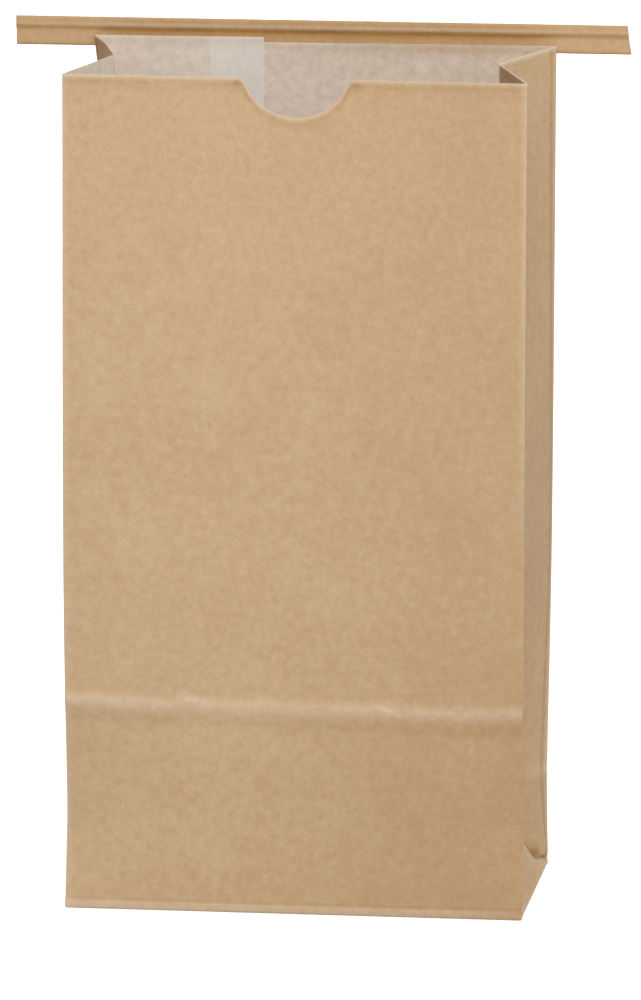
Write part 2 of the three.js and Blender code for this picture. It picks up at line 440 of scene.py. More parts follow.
@dataclass(frozen=True)
class BagMarks:
    """Where the outside of the bag is paled or darkened, and how strongly: scuffs, press lines and painted
    shade.

    Rims, lips and the left shade are measured down from the cut edge, what has ridge in its name up from
    the ridge's crest, bands from the base lip's upper edge, pockets from the soft corner, and edges and
    gusset lines along the sheet from the nearest corner edge. The others are measured up from the ground,
    or from the fold, crease or shoulder that they are named for. Names that end in across give the strength
    by a share of the front's half width, and those in spread by x or by the share of a gusset's half.
    """

    rim: Fade = Fade(0.2, 0.9, 0.6, 0.0)
    rim_line: Mark = Mark(0.1, 1.7, 0.8)
    foot: Fade = Fade(0.6, 1.6, 0.3, 0.0)
    edge_width: float = 0.6
    left_edge: float = 0.35
    right_edge: float = 0.5
    front_edge_width: float = 1.2
    front_right_edge: Fade = Fade(120.0, 190.0, 0.0, 0.42)
    front_rim: Fade = Fade(0.2, 1.3, 1.0, 0.0)
    front_rim_across: Fade = Fade(-1.0, 1.0, 0.6, 0.38)
    front_rim_line: Mark = Mark(0.2, 2.3, 0.9)
    shoulder: Mark = Mark(0.4, 1.5, 2.2)
    shoulder_line: Mark = Mark(1.0, 1.5, 1.1)
    ridge_scuff: Mark = Mark(1.0, -0.3, 2.1)
    ridge_strength: float = 0.56
    ridge_breaks: Ripple = Ripple(4.5, 0.25, 6.1)
    ridge_spread: Fade = Fade(-56.0, -38.0, 1.0, 0.55)
    # Painted shade: a darker band below the ridge's crest.
    ridge_shade: Mark = Mark(1.0, -6.0, 2.0)
    ridge_shade_across: Fade = Fade(-1.0, 0.7, 0.08, 0.13)
    kink_scuff: Mark = Mark(0.45, 0.0, 0.9)
    kink_length: float = 3.6
    kink_start: Span = (-3.0, 2.0)
    kink_slants: Span = (0.2, 0.45)
    # Painted shade: the front darkens towards its lower right, and so does its right corner edge.
    right_tone: Fade = Fade(20.0, 95.0, 0.37, 0.19)
    right_tone_across: Fade = Fade(-0.5, 1.0)
    corner_tone: Span = (1.0, 0.5)
    band: Fade = Fade(-0.6, 0.0, 1.0, 0.0)
    band_spread: Fade = Fade(52.0, 68.0, 0.36, 0.14)
    band_line: Mark = Mark(0.25, 0.3, 0.45)
    back_fold: Mark = Mark(0.35, 0.0, 1.0)
    # Painted shade: a darker line inside each back corner edge of a gusset.
    gusset_line: Mark = Mark(0.5, 3.4, 0.8)
    gusset_scuff: Mark = Mark(0.3, 1.0, 1.2)
    gusset_crease: Mark = Mark(0.2, -1.0, 1.8)
    right_lip: Fade = Fade(0.8, 2.0, 0.45, 0.0)
    # Painted shade: the back half of the left gusset near the mouth, darkest beside its corner edge.
    left_shade: Fade = Fade(6.0, 20.0, 1.0, 0.0)
    left_shade_ends: Span = (0.65, 0.13)
    # Painted shade: the pocket at the right gusset's soft corner, on its back half and along its back fold.
    pocket: Mark = Mark(1.0, 2.2, 2.8)
    pocket_spread: Fade = Fade(0.35, 0.8)
    pocket_fold: Mark = Mark(1.0, 2.2, 2.4)
    # Painted shade: along each gusset's low folds, where they are the diagonal folds of the base.
    diagonal: Mark = Mark(0.7, 0.0, 6.0)
    diagonal_share: float = 0.3
    middle_scuff: Mark = Mark(0.35, 0.0, 0.22)
    middle_start: float = 20.0


@dataclass(frozen=True)
class LiningMarks:
    """Where the lining is doubled, paled by painted light and a painted highlight, and darkened, partly by
    painted shade, measured from the cut edge.

    Attributes:
        beside_lap: How much painted light pales the back panel's lining left of the lap, in the lap's
            colour.
        left: How much painted light pales the lining of the left front corner and the left gusset's front
            half.
        rim: The painted highlight along the rim of the back panel's lining.
        rim_spread: Its strength by x.
        line: The line along that rim.
        brown: The darker band below the rim.
        brown_spread: Its strength by x.
        crease: Where the painted shade in the narrow wedge inside the right gusset's front half starts,
            below its lip.
        crease_spread: Its strength across the gusset's half.
        crease_end: Where it ends, as a share of its reach.
        crease_reach: How far down it goes beside the fold.
        crease_slope: How far across the gusset's half it has that reach.
        crease_least: The share of its reach that it has everywhere.
    """

    # Painted light: the back panel's lining left of the lap is paled.
    beside_lap: float = 0.3
    # Painted light: the lining of the left front corner and the left gusset's front half is paled.
    left: float = 0.3
    # Painted highlight along the rim of the back panel's lining, strongest at the left.
    rim: Fade = Fade(0.3, 1.0, 1.0, 0.0)
    rim_spread: Fade = Fade(-20.0, 20.0, 0.3, 0.0)
    line: Mark = Mark(0.16, 1.7, 1.3)
    brown: Fade = Fade(1.5, 5.0, 0.3, 0.1)
    brown_spread: Fade = Fade(-15.0, 30.0)
    # Painted shade: the narrow wedge inside the right gusset's front half, below its lip.
    crease: Fade = Fade(0.2, 0.5)
    crease_spread: Fade = Fade(0.93, 1.0, 0.95, 0.0)
    crease_end: Fade = Fade(0.6, 1.2, 1.0, 0.0)
    crease_reach: float = 7.0
    crease_slope: float = 0.85
    crease_least: float = 0.1


@dataclass
class BagColumn:
    """One column of the bag's paper, with its marks.

    Attributes:
        bag: The bag that it is part of.
        station: Where it is.
        heights: The heights of its points, the last of them on the cut edge.
        marks: The marks on its outside.
        lining: The marks on its inside.
    """

    bag: "PaperBag"
    station: Station
    heights: np.ndarray
    marks: BagMarks = BagMarks()
    lining: LiningMarks = LiningMarks()

    @property
    def drop(self) -> np.ndarray:
        """How far its points are below the cut edge."""
        return self.heights[-1] - self.heights

    @property
    def right_tone(self) -> np.ndarray:
        """How strongly shade is painted on the right of the front, at the height of each point."""
        return self.marks.right_tone.at(self.heights)

    def edge_scuff(self) -> np.ndarray:
        """Gives how scuffed the nearest corner edge is: at the right of the front, only high up.

        Returns:
            How scuffed the paper is at each point.
        """
        station, marks = self.station, self.marks
        strength = marks.right_edge if station.hand > 0 else marks.left_edge
        if station.end < 0 and station.hand > 0:
            strength = marks.front_right_edge.at(self.heights)
        width = marks.front_edge_width if station.front else marks.edge_width
        return strength * bump(self.bag.edge_distance(station), width)

    def kink_scuffs(self) -> np.ndarray:
        """Gives the short slanted pale streaks where the front's ridge is kinked.

        Returns:
            How much the paper is paled at each point.
        """
        x, marks = self.station.share, self.marks
        before, above = marks.kink_start
        worn = np.zeros_like(self.heights)
        for kink, slant in zip(self.bag.ridge_kinks, marks.kink_slants):
            line = self.bag.ridge_crest(kink) + above - slant * (x - kink - before)
            worn = worn + marks.kink_scuff.at(self.heights - line) * bump(x - kink, marks.kink_length)
        return worn

    def front(self) -> tuple[np.ndarray, np.ndarray]:
        """Gives the marks of the front panel, without its corner edges.

        Returns:
            How much the paper is paled and darkened at each point, with painted shade among the darkening.
        """
        x, drop, marks = self.station.share, self.drop, self.marks
        across = x / self.bag.half_width
        above_ridge = self.heights - self.bag.ridge_crest(x)
        above_lip = self.heights - self.bag.base_lip
        ridge = (marks.ridge_strength + marks.ridge_breaks.across(x)) * marks.ridge_spread.at(x)
        worn = marks.front_rim_across.at(across) * marks.front_rim.at(drop)
        worn = worn + ridge * marks.ridge_scuff.at(above_ridge) + self.kink_scuffs()
        worn = worn + marks.band_spread.at(x) * marks.band.at(above_lip)
        # Painted shade: darker towards the lower right, and in a band below the ridge's crest.
        pressed = marks.front_rim_line.at(drop) + marks.right_tone_across.at(across) * self.right_tone
        pressed = pressed + marks.ridge_shade_across.at(across) * marks.ridge_shade.at(above_ridge)
        pressed = pressed + marks.shoulder.at(self.bag.notch.beyond(x)) * marks.shoulder_line.at(drop)
        return worn, pressed + marks.band_line.at(above_lip)

    def back_half(self) -> tuple[np.ndarray, np.ndarray]:
        """Gives the marks that only the back half of a gusset has.

        Returns:
            How much the paper is scuffed, and how much shade is painted on it, at each point.
        """
        share, drop, marks = self.station.share, self.drop, self.marks
        distance = self.bag.edge_distance(self.station)
        worn = marks.gusset_scuff.at(distance) + marks.gusset_crease.at(self.heights - self.bag.half_depth)
        # Painted shade: a line inside the back corner edge, the pocket at the right gusset's soft corner,
        # and the left gusset's back half near the mouth.
        pressed = marks.gusset_line.at(distance)
        if self.station.side > 0:
            pocket = marks.pocket_spread.at(share) * marks.pocket.at(self.heights - self.bag.soft_corner)
            return worn + marks.right_lip.at(drop), pressed + pocket
        return worn, pressed + lerp(*marks.left_shade_ends, share) * marks.left_shade.at(drop)

    def outside(self) -> Masks:
        """Gives the masks of the outside.

        Returns:
            How much the paper is paled and darkened at each point, with painted shade among the darkening.
        """
        bag, station, marks = self.bag, self.station, self.marks
        heights, drop = self.heights, self.drop
        worn = marks.rim.at(drop) + marks.foot.at(heights)
        pressed = marks.rim_line.at(drop)
        if station.front:
            worn, pressed = self.front()
        elif station.back:
            worn = worn + marks.back_fold.at(heights - bag.half_depth)
        elif station.part is Part.CORNER and station.side > 0 and station.end < 0:
            # Painted shade on the right front corner edge, as on the right of the front.
            pressed = pressed + self.right_tone * lerp(*marks.corner_tone, station.share)
        elif station.part is Part.HALF and station.end > 0:
            more_worn, more_press_and_shade = self.back_half()
            worn, pressed = worn + more_worn, pressed + more_press_and_shade
        elif station.part is Part.FOLD:
            # Painted shade along each gusset's low folds, and in the pocket at the right gusset's soft
            # corner.
            pressed = pressed + marks.diagonal.at(heights - marks.diagonal_share * bag.apex_height)
            if station.side > 0 and station.end > 0:
                pressed = pressed + marks.pocket_fold.at(heights - bag.soft_corner)
        if station.part is Part.MIDDLE:
            beside = marks.middle_scuff.at(min(station.share, 1 - station.share))
            worn = worn + beside * smoothstep(heights, bag.apex_height, marks.middle_start)
        else:
            worn = worn + self.edge_scuff()
        return {Mask.WORN: worn, Mask.PRESSED: pressed}

    def inside(self) -> Masks:
        """Gives the masks of the lining.

        Returns:
            Where it is doubled, paled by painted light and a painted highlight, and darkened, partly by
            painted shade.
        """
        bag, station, marks = self.bag, self.station, self.lining
        share, drop = station.share, self.drop
        lap, worn, pressed = np.zeros((3, len(drop)))
        if station.back:
            if share < bag.seam_inner_edge:
                # Painted light left of the lap, in the lap's paler colour.
                lap = lap + (1.0 if share > bag.seam_outer_edge else marks.beside_lap)
            # Painted highlight along the rim, then the darker line and band below it.
            worn = marks.rim_spread.at(share) * marks.rim.at(drop)
            pressed = marks.line.at(drop) + marks.brown_spread.at(share) * marks.brown.at(drop)
        elif station.side < 0 and station.end < 0:
            # Painted light on the lining of the left front corner and the left gusset's front half.
            worn = worn + marks.left
        elif station.part is Part.HALF and station.end < 0:
            # Painted shade in the narrow wedge inside the right gusset's front half, below its lip.
            reach = marks.crease_reach * max(marks.crease_least, min(1.0, share / marks.crease_slope))
            pressed = marks.crease.at(drop) * marks.crease_end.at(drop / reach)
            pressed = pressed * marks.crease_spread.at(share)
        return {Mask.LAP: lap, Mask.WORN: worn, Mask.PRESSED: pressed}


@dataclass
class PaperBag:
    """The folded sheet, with its walls, folds, mouth and block bottom.

    A tuck is how far a gusset's crease is drawn in, the apex is where the two diagonal folds of the base
    meet, the base lip is the band along the foot of the front, and the soft corner is the pocket at the
    foot of the right gusset. Names that end in rows, columns or counts, kink_span, kink_clear and
    seam_step are about the mesh only.
    """

    width: float
    height: float
    lean: float
    mouth_skew: float = 1.7
    mouth_skew_power: int = 12
    back_lean: float = 1.8
    depth: float = 70.0
    sheet: float = 0.3
    apex_tuck: float = 18.0
    middle_tuck: float = 4.0
    middle_height: float = 120.0
    right_mouth_tuck: float = 14.0
    left_mouth_tuck: float = 11.0
    crease: float = 0.8
    diagonal_start: float = 1.5
    bulge: float = 1.5
    bulge_power: int = 4
    ridge_rises: Span = (0.525, 0.805)
    ridge_upper_width: float = 2.1
    ridge_lower_width: float = 4.2
    ridge_drop: float = 2.0
    ridge_wander: Ripple = Ripple(7.0, 0.5, 2.3)
    ridge_kinks: Span = (-32.3, 30.7)
    kink_jog: Mark = Mark(0.6, -2.0, 2.2)
    kink_gap: Mark = Mark(0.45, 0.8, 1.0)
    back_fold: Mark = Mark(0.7, 0.0, 2.5)
    seam_inner_edge: float = -21.0
    seam_lap: float = 18.0
    seam_step: float = 0.05
    flap_lap: float = 16.0
    corner_bend: float = 0.7
    fold_bend: float = 0.35
    base_bend: float = 0.8
    base_lip: float = 3.2
    base_lip_form: Fade = Fade(-0.7, 0.7, 0.3, 0.0)
    soft_corner: float = 4.4
    soft_corner_form: Fade = Fade(-1.1, 1.1)
    soft_reach: float = 13.5
    corner_flare: Mark = Mark(1.6, 0.0, 9.0)
    flare_reach: float = 16.0
    swells: Ripple = Ripple(34.0, 0.28, 3.7)
    cockles: Ripple = Ripple(11.0, 0.07, 8.1)
    calm_edge: Fade = Fade(0.5, 14.0)
    calm_base: Fade = Fade(3.0, 18.0)
    calm_fold: Fade = Fade(0.7, 1.0, 1.0, 0.0)
    gusset_crease: Mark = Mark(0.3, -1.5, 2.2)
    gusset_crease_end: Fade = Fade(0.8, 1.0, 1.0, 0.0)
    front_columns: int = 25
    kink_columns: int = 8
    kink_span: float = 3.0
    kink_clear: float = 3.4
    back_columns: tuple[int, int, int] = (34, 8, 14)
    half_columns: tuple[tuple[float, int], ...] = ((0.12, 4), (1.0, 11))
    middle_columns: int = 9
    foot_rows: float = 5.0
    apex_rows: float = 42.0
    ridge_rows: Span = (-13.0, 9.0)
    mouth_rows: Span = (-40.0, -3.0)
    low_row_counts: tuple[int, ...] = (4, 9, 12, 13)
    high_row_counts: tuple[int, ...] = (6, 30, 36, 14, 8)
    notch: ThumbNotch = ThumbNotch()

    @classmethod
    def from_frame(cls) -> "PaperBag":
        """Measures the solid of the bag: the left of the base is its lowest x.

        Returns:
            The bag at that size.
        """
        low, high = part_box(Solid.BAG.value)
        width = -2 * low.x / MM
        return cls(
            width=width,
            height=high.z / MM - cls.mouth_skew / 2,
            lean=high.x / MM - width / 2,
        )

    @property
    def half_width(self) -> float:
        """Half the width of a panel."""
        return self.width / 2

    @property
    def half_depth(self) -> float:
        """Half the width of a gusset."""
        return self.depth / 2

    @property
    def apex_height(self) -> float:
        """How high the two diagonal folds of the base meet."""
        return math.sqrt(self.half_depth**2 - self.apex_tuck**2)

    @property
    def floor(self) -> float:
        """The thickness of the three sheets that lie on each other in the base."""
        return 3 * self.sheet

    @property
    def seam_outer_edge(self) -> float:
        """Where the sheet that lies outside ends, on the back panel."""
        return self.seam_inner_edge - self.seam_lap

    def tuck(self, height: np.ndarray, mouth_tuck: float) -> np.ndarray:
        """Gives how far a gusset's crease is drawn in.

        Args:
            height: The heights to give it at.
            mouth_tuck: How far it is drawn in at the mouth.

        Returns:
            One tuck for each height.
        """
        low = self.apex_tuck * height / self.apex_height
        rise = smoothstep(height, self.apex_height, self.middle_height)
        middle = lerp(self.apex_tuck, self.middle_tuck, rise)
        high = lerp(self.middle_tuck, mouth_tuck, smoothstep(height, self.middle_height, self.height))
        upper = np.where(height <= self.middle_height, middle, high)
        return np.where(height <= self.apex_height, low, upper)

    def corner_half_depth(self, height: np.ndarray) -> np.ndarray:
        """Gives half the depth between two corner edges.

        Args:
            height: The heights to give it at.

        Returns:
            One half depth for each height.
        """
        tuck = self.tuck(height, (self.right_mouth_tuck + self.left_mouth_tuck) / 2)
        low = lerp(self.half_depth, self.apex_height, height / self.apex_height)
        return np.where(height <= self.apex_height, low, np.sqrt(self.half_depth**2 - tuck**2))

    def panel_half_depth(self, x: float, height: np.ndarray) -> np.ndarray:
        """Gives half the depth between the panels, which bulge between their corner edges.

        Args:
            x: The place across the panels.
            height: The heights to give it at.

        Returns:
            One half depth for each height.
        """
        share = height / self.height
        at_mouth = float(self.corner_half_depth(np.array(self.height)))
        middle = lerp(self.half_depth, at_mouth, share) + self.bulge * np.sin(np.pi * share)
        to_edge = (x / self.half_width) ** self.bulge_power
        return lerp(middle, self.corner_half_depth(height), to_edge)

    def ridge_crest(self, x: float) -> float:
        """Returns how high the pressed ridge is on the front, at one x."""
        jogs = sum(float(self.kink_jog.at(x - kink)) for kink in self.ridge_kinks)
        return self.depth - self.ridge_drop * x / self.width + jogs + self.ridge_wander.across(x)

    def ridge(self, x: float, height: np.ndarray) -> np.ndarray:
        """Gives how far the ridge stands out of the front.

        Args:
            x: The place across the front.
            height: The heights to give it at.

        Returns:
            One distance for each height.
        """
        above = height - self.ridge_crest(x)
        shape = bump(above, np.where(above > 0, self.ridge_upper_width, self.ridge_lower_width))
        gaps = sum(float(self.kink_gap.at(x - kink)) for kink in self.ridge_kinks)
        return lerp(*self.ridge_rises, x / self.width + 0.5) * (1 - gaps) * shape

    def base_inset(self, height: np.ndarray) -> np.ndarray:
        """Returns how far the round fold along the base draws a wall in."""
        short = np.clip(1 - height / self.base_bend, 0.0, 1.0)
        return self.base_bend * (1 - np.sqrt(1 - short**2))

    def panel_point(self, x: float, end: int, height: np.ndarray) -> np.ndarray:
        """Gives points of the front or the back panel.

        Args:
            x: The place across the panel.
            end: -1 for the front and 1 for the back.
            height: The heights to give points at.

        Returns:
            One point for each height.
        """
        out = self.panel_half_depth(x, height) - self.base_inset(height)
        if end < 0:
            out = out + self.ridge(x, height) + self.base_lip_form.at(height - self.base_lip)
        else:
            out = out - self.back_fold.at(height - self.half_depth)
        return np.stack([np.full_like(height, x), end * out, height], axis=-1)

    def corner_point(self, side: int, end: int, height: np.ndarray) -> np.ndarray:
        """Gives points of one upright corner edge, before it is rounded.

        Args:
            side: -1 for the left and 1 for the right.
            end: -1 for the front and 1 for the back.
            height: The heights to give points at.

        Returns:
            One point for each height.
        """
        points = self.panel_point(side * self.half_width, end, height)
        points[:, 0] -= side * self.base_inset(height)
        return points

    def fold_point(self, side: int, end: int, height: np.ndarray) -> np.ndarray:
        """Gives points of one fold of a gusset.

        Below the apex the folds are the diagonals of the base, and above it they are the two sides of
        the crease.

        Args:
            side: -1 for the left gusset and 1 for the right one.
            end: -1 for the fold towards the front and 1 for the one towards the back.
            height: The heights to give points at.

        Returns:
            One point for each height.
        """
        mouth_tuck = self.right_mouth_tuck if side > 0 else self.left_mouth_tuck
        rise = np.minimum(1.0, height / self.apex_height)
        half_gap = lerp(self.half_depth - self.diagonal_start, self.crease / 2, rise)
        if side > 0 and end > 0:
            soft = self.soft_corner_form.at(height - self.soft_corner)
            in_pocket = np.minimum(half_gap, self.half_depth - self.soft_reach)
            half_gap = lerp(self.half_depth - self.diagonal_start, in_pocket, soft)
        inset = self.base_inset(height)
        x = side * (self.half_width - self.tuck(height, mouth_tuck) - inset)
        return np.stack([x, end * (half_gap - inset * (1 - rise)), height], axis=-1)

    @staticmethod
    def between(first: np.ndarray, second: np.ndarray, bends: Span, share: float) -> np.ndarray:
        """Gives points on the straight stretch between two bends.

        Args:
            first: Points of the first bend's edge, before it is rounded.
            second: Those of the second bend's edge.
            bends: How far each bend reaches into the stretch.
            share: How far across the stretch the points are.

        Returns:
            One point for each pair.
        """
        length = np.linalg.norm(second - first, axis=-1, keepdims=True)
        start, end = (bend / length for bend in bends)
        return lerp(first, second, lerp(start, 1 - end, share))

    def half_point(self, side: int, end: int, share: float, height: np.ndarray) -> np.ndarray:
        """Returns the points across one half of a gusset, clear of its two bends."""
        corner, fold = self.corner_point(side, end, height), self.fold_point(side, end, height)
        return self.between(corner, fold, (self.corner_bend, self.fold_bend), share)

    def middle_point(self, side: int, share: float, height: np.ndarray) -> np.ndarray:
        """Returns the points between the folds of a gusset, clear of their bends."""
        front, back = (self.fold_point(side, end, height) for end in (-1, 1))
        return self.between(front, back, (self.fold_bend, self.fold_bend), share)

    def point(self, station: Station, height: np.ndarray) -> np.ndarray:
        """Gives points of the sheet.

        Args:
            station: The place around the bag.
            height: The heights to give points at.

        Returns:
            One point for each height.
        """
        side, end, share = station.side, station.end, station.share
        if station.part is Part.PANEL:
            return self.panel_point(share, end, height)
        if station.part is Part.HALF:
            return self.half_point(side, end, share, height)
        if station.part is Part.MIDDLE:
            return self.middle_point(side, share, height)
        if station.part is Part.CORNER:
            beside = self.panel_point(side * (self.half_width - self.corner_bend), end, height)
            corner = self.corner_point(side, end, height)
            return bezier(beside, corner, self.half_point(side, end, 0.0, height), share)
        beside = self.half_point(side, end, 1.0, height)
        middle = self.middle_point(side, 0.0 if end < 0 else 1.0, height)
        return bezier(beside, self.fold_point(side, end, height), middle, share)

    def front_places(self) -> list[float]:
        """Gives the columns of the front, closer at the notch and the ridge's kinks.

        Returns:
            The x of each column, from left to right.
        """
        edge = self.half_width - self.corner_bend
        gap = self.notch.half + self.notch.plain_gap
        left = even(-edge, self.notch.middle - gap, self.front_columns)
        right = even(self.notch.middle + gap, edge, self.front_columns)
        steps = even(-self.kink_span, self.kink_span, self.kink_columns)
        kinks = [kink + step for kink in self.ridge_kinks for step in steps]
        clear = self.kink_clear
        plain = [x for x in left + right if all(abs(x - kink) > clear for kink in self.ridge_kinks)]
        return sorted(plain + kinks + self.notch.places())

    def back_places(self) -> list[float]:
        """Gives the columns of the back, with the steps of the seam.

        Returns:
            The x of each column, from right to left.
        """
        edge = self.half_width - self.corner_bend
        inner, outer, step = self.seam_inner_edge, self.seam_outer_edge, self.seam_step
        spans = [(edge, inner + step), (inner - step, outer + step), (outer - step, -edge)]
        return [x for span, count in zip(spans, self.back_columns) for x in even(*span, count)]

    def stations(self) -> list[Station]:
        """Walks around the bag.

        Returns:
            The places around it, counter-clockwise from the left of the front.
        """
        halves = stretches(0.0, *self.half_columns)
        found = [Station(Part.PANEL, 0, -1, x) for x in self.front_places()]
        for side in (1, -1):
            arms = {}
            for end in (-side, side):
                arms[end] = [Station(Part.CORNER, side, end, share) for share in BENDS]
                arms[end] += [Station(Part.HALF, side, end, share) for share in halves]
                arms[end] += [Station(Part.FOLD, side, end, share) for share in BENDS[::2]]
            shares = even(0.0, 1.0, self.middle_columns)[::side]
            middle = [Station(Part.MIDDLE, side, 0, share) for share in shares]
            found += arms[-side] + middle + arms[side][::-1]
            if side > 0:
                found += [Station(Part.PANEL, 0, 1, x) for x in self.back_places()]
        return found

    def along(self, station: Station) -> float:
        """Gives how far along the spread-out sheet a station is.

        Args:
            station: The place around the bag.

        Returns:
            The distance from the left of the front.
        """
        if station.front:
            return station.share + self.half_width
        if station.back:
            return self.width + self.depth + self.half_width - station.share
        start = self.width if station.side > 0 else 2 * self.width + self.depth
        across = {Part.CORNER: 0.0, Part.HALF: station.share}.get(station.part, 1.0)
        return start + self.half_depth * (2 - across if station.end == station.side else across)

    def mouth_lift(self, along: float) -> float:
        """Gives how far the skew of the lapped sheet lifts its cut edge.

        Args:
            along: How far along the spread-out sheet the place is.

        Returns:
            The lift, which is below zero where the edge is lowered.
        """
        perimeter = 2 * (self.width + self.depth)
        seam = self.width + self.depth + self.half_width - self.seam_inner_edge
        return self.mouth_skew * (0.5 - (along - seam) % perimeter / perimeter)

    def base_height(self, station: Station) -> float:
        """Gives how high the sheet's lower edge is.

        Args:
            station: The place around the bag.

        Returns:
            The height above the ground: the flaps of the base lie over each other.
        """
        on_flap = station.part is Part.CORNER and station.share <= MID_BEND
        if station.part is Part.PANEL or on_flap:
            return 0.0 if station.end < 0 else self.sheet
        return 2 * self.sheet

    def column_heights(self, station: Station, rows: np.ndarray) -> np.ndarray:
        """Gives the heights of one column's points.

        Args:
            station: Where the column is.
            rows: The heights of the rows at a place with no skew and no notch.

        Returns:
            The heights, from the column's lower edge to its cut edge.
        """
        lift = self.mouth_lift(self.along(station))
        heights = rows + self.base_height(station) * np.clip(1 - rows / self.base_lip, 0.0, 1.0)
        heights = heights + lift * (rows / self.height) ** self.mouth_skew_power
        if station.front:
            share = smoothstep(rows, self.height - self.notch.reach, self.height)
            heights = heights - self.notch.cut(station.share) * share
        return heights

    def rows(self) -> np.ndarray:
        """Gives the rows of the mesh, closer at the base, the ridge and the mouth.

        Returns:
            The height of each row, at a place with no skew and no notch.
        """
        below_ridge, above_ridge = (self.depth + reach for reach in self.ridge_rows)
        neck, lip = (self.height + reach for reach in self.mouth_rows)
        low = (self.base_bend, self.foot_rows, self.apex_height, self.apex_rows)
        high = (below_ridge, above_ridge, neck, lip, self.height)
        counts = self.low_row_counts + self.high_row_counts
        return np.array(stretches(0.0, *zip(low + high, counts)))

    def edge_distance(self, station: Station) -> float:
        """Gives how far a station is from the nearest corner edge.

        Args:
            station: The place around the bag.

        Returns:
            The distance along the sheet.
        """
        if station.part is Part.PANEL:
            return self.half_width - abs(station.share)
        if station.part is Part.CORNER:
            return self.corner_bend * abs(station.share - MID_BEND)
        if station.part is Part.HALF:
            return lerp(self.corner_bend, self.half_depth, station.share)
        return self.half_depth

    def unevenness(self, station: Station, points: np.ndarray) -> np.ndarray:
        """Gives the swells and cockles, and the crease across the back half of a gusset.

        Args:
            station: Where the column is.
            points: Its points in their plain form.

        Returns:
            How far the paper stands out at each point.
        """
        heights = points[:, 2]
        if station.part in (Part.FOLD, Part.MIDDLE):
            return np.zeros_like(heights)
        calm = self.calm_edge.at(self.edge_distance(station)) * self.calm_base.at(heights)
        out = calm * (self.swells.at(points) + self.cockles.at(points))
        if station.part is Part.HALF:
            out = out * self.calm_fold.at(station.share)
            if station.end > 0:
                end = self.gusset_crease_end.at(station.share)
                out = out + self.gusset_crease.at(heights - self.half_depth) * end
        return out

    def surfaces(self, stations: list[Station], rows: np.ndarray) -> tuple[np.ndarray, np.ndarray]:
        """Gives the outside of the sheet and the directions out of it.

        Args:
            stations: The places around the bag.
            rows: The heights of the rows at a place with no skew and no notch.

        Returns:
            The points and the unit normals, as rows of stations.
        """
        columns = []
        rise = []
        for station in stations:
            points = self.point(station, self.column_heights(station, rows))
            rise.append(self.unevenness(station, points))
            toward_back = points[:, 1] / self.depth + 0.5
            points[:, 0] += (self.lean + self.back_lean * toward_back) * points[:, 2] / self.height
            if station.end > 0 and station.hand < 0:
                high = smoothstep(points[:, 2], self.height - self.flare_reach, self.height)
                points[:, 0] -= self.corner_flare.at(self.edge_distance(station)) * high
            columns.append(points)
        grid = np.stack(columns, axis=1)
        around = np.roll(grid, -1, axis=1) - np.roll(grid, 1, axis=1)
        normals = np.cross(around, np.gradient(grid, axis=0))
        normals /= np.linalg.norm(normals, axis=-1, keepdims=True)
        return grid + normals * np.stack(rise, axis=1)[..., None], normals

    def lap_set_in(self, station: Station, edge: float) -> float:
        """Gives how far the sheet beyond one edge of the lap seam is set in.

        Args:
            station: The place around the bag.
            edge: The x of that edge on the back panel.

        Returns:
            Up to the sheet's thickness, and 0 off the back panel.
        """
        if not station.back or station.share >= edge:
            return 0.0
        return self.sheet * float(smoothstep(station.share, -self.half_width, self.seam_outer_edge))

    def build(self, finishes: "Finishes") -> bpy.types.Object:
        """Makes the bag.

        Args:
            finishes: The materials of the part.

        Returns:
            The bag, in place of its solid and riding with the part.
        """
        parts = MeshParts()
        stations = self.stations()
        rows = self.rows()
        outer_rim = self.add_outside(parts, stations, rows)
        inner_rim = self.add_inside(parts, stations, rows)
        parts.add_strips(np.stack([outer_rim, inner_rim]), Face.CUT_EDGE)
        bag = parts.build("kraft_bag", [finishes.kraft, finishes.lining, finishes.cut_edge])
        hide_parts(Solid.BAG.value)
        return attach(bag, BODY)

    def columns(self, stations: list[Station], grid: np.ndarray) -> list[BagColumn]:
        """Returns the columns of a grid of points."""
        return [BagColumn(self, station, grid[:, number, 2]) for number, station in enumerate(stations)]

    @staticmethod
    def side_by_side(masks: list[Masks]) -> Masks:
        """Returns the masks of some columns as those of a grid."""
        return {mask: np.stack([column[mask] for column in masks], axis=1) for mask in masks[0]}

    def add_outside(self, parts: MeshParts, stations: list[Station], rows: np.ndarray) -> np.ndarray:
        """Adds the outside of the walls and the base.

        Args:
            parts: The mesh that they become part of.
            stations: The places around the bag.
            rows: The heights of its rows.

        Returns:
            The point numbers of the cut edge.
        """
        grid, _ = self.surfaces(stations, rows)
        grid[..., 1] -= [self.lap_set_in(station, self.seam_outer_edge) for station in stations]
        masks = self.side_by_side([column.outside() for column in self.columns(stations, grid)])
        numbers = parts.add_points(grid, masks)
        parts.add_strips(numbers, Face.OUTSIDE)
        self.add_base(parts, stations, numbers[0], grid[0])
        return numbers[-1]

    def add_layers(self, parts: MeshParts, x: float, y: float, count: int) -> np.ndarray:
        """Adds a point under each of the base's lowest sheets, and returns their numbers."""
        return parts.add_points(np.array([[x, y, sheet * self.sheet] for sheet in range(count)]))

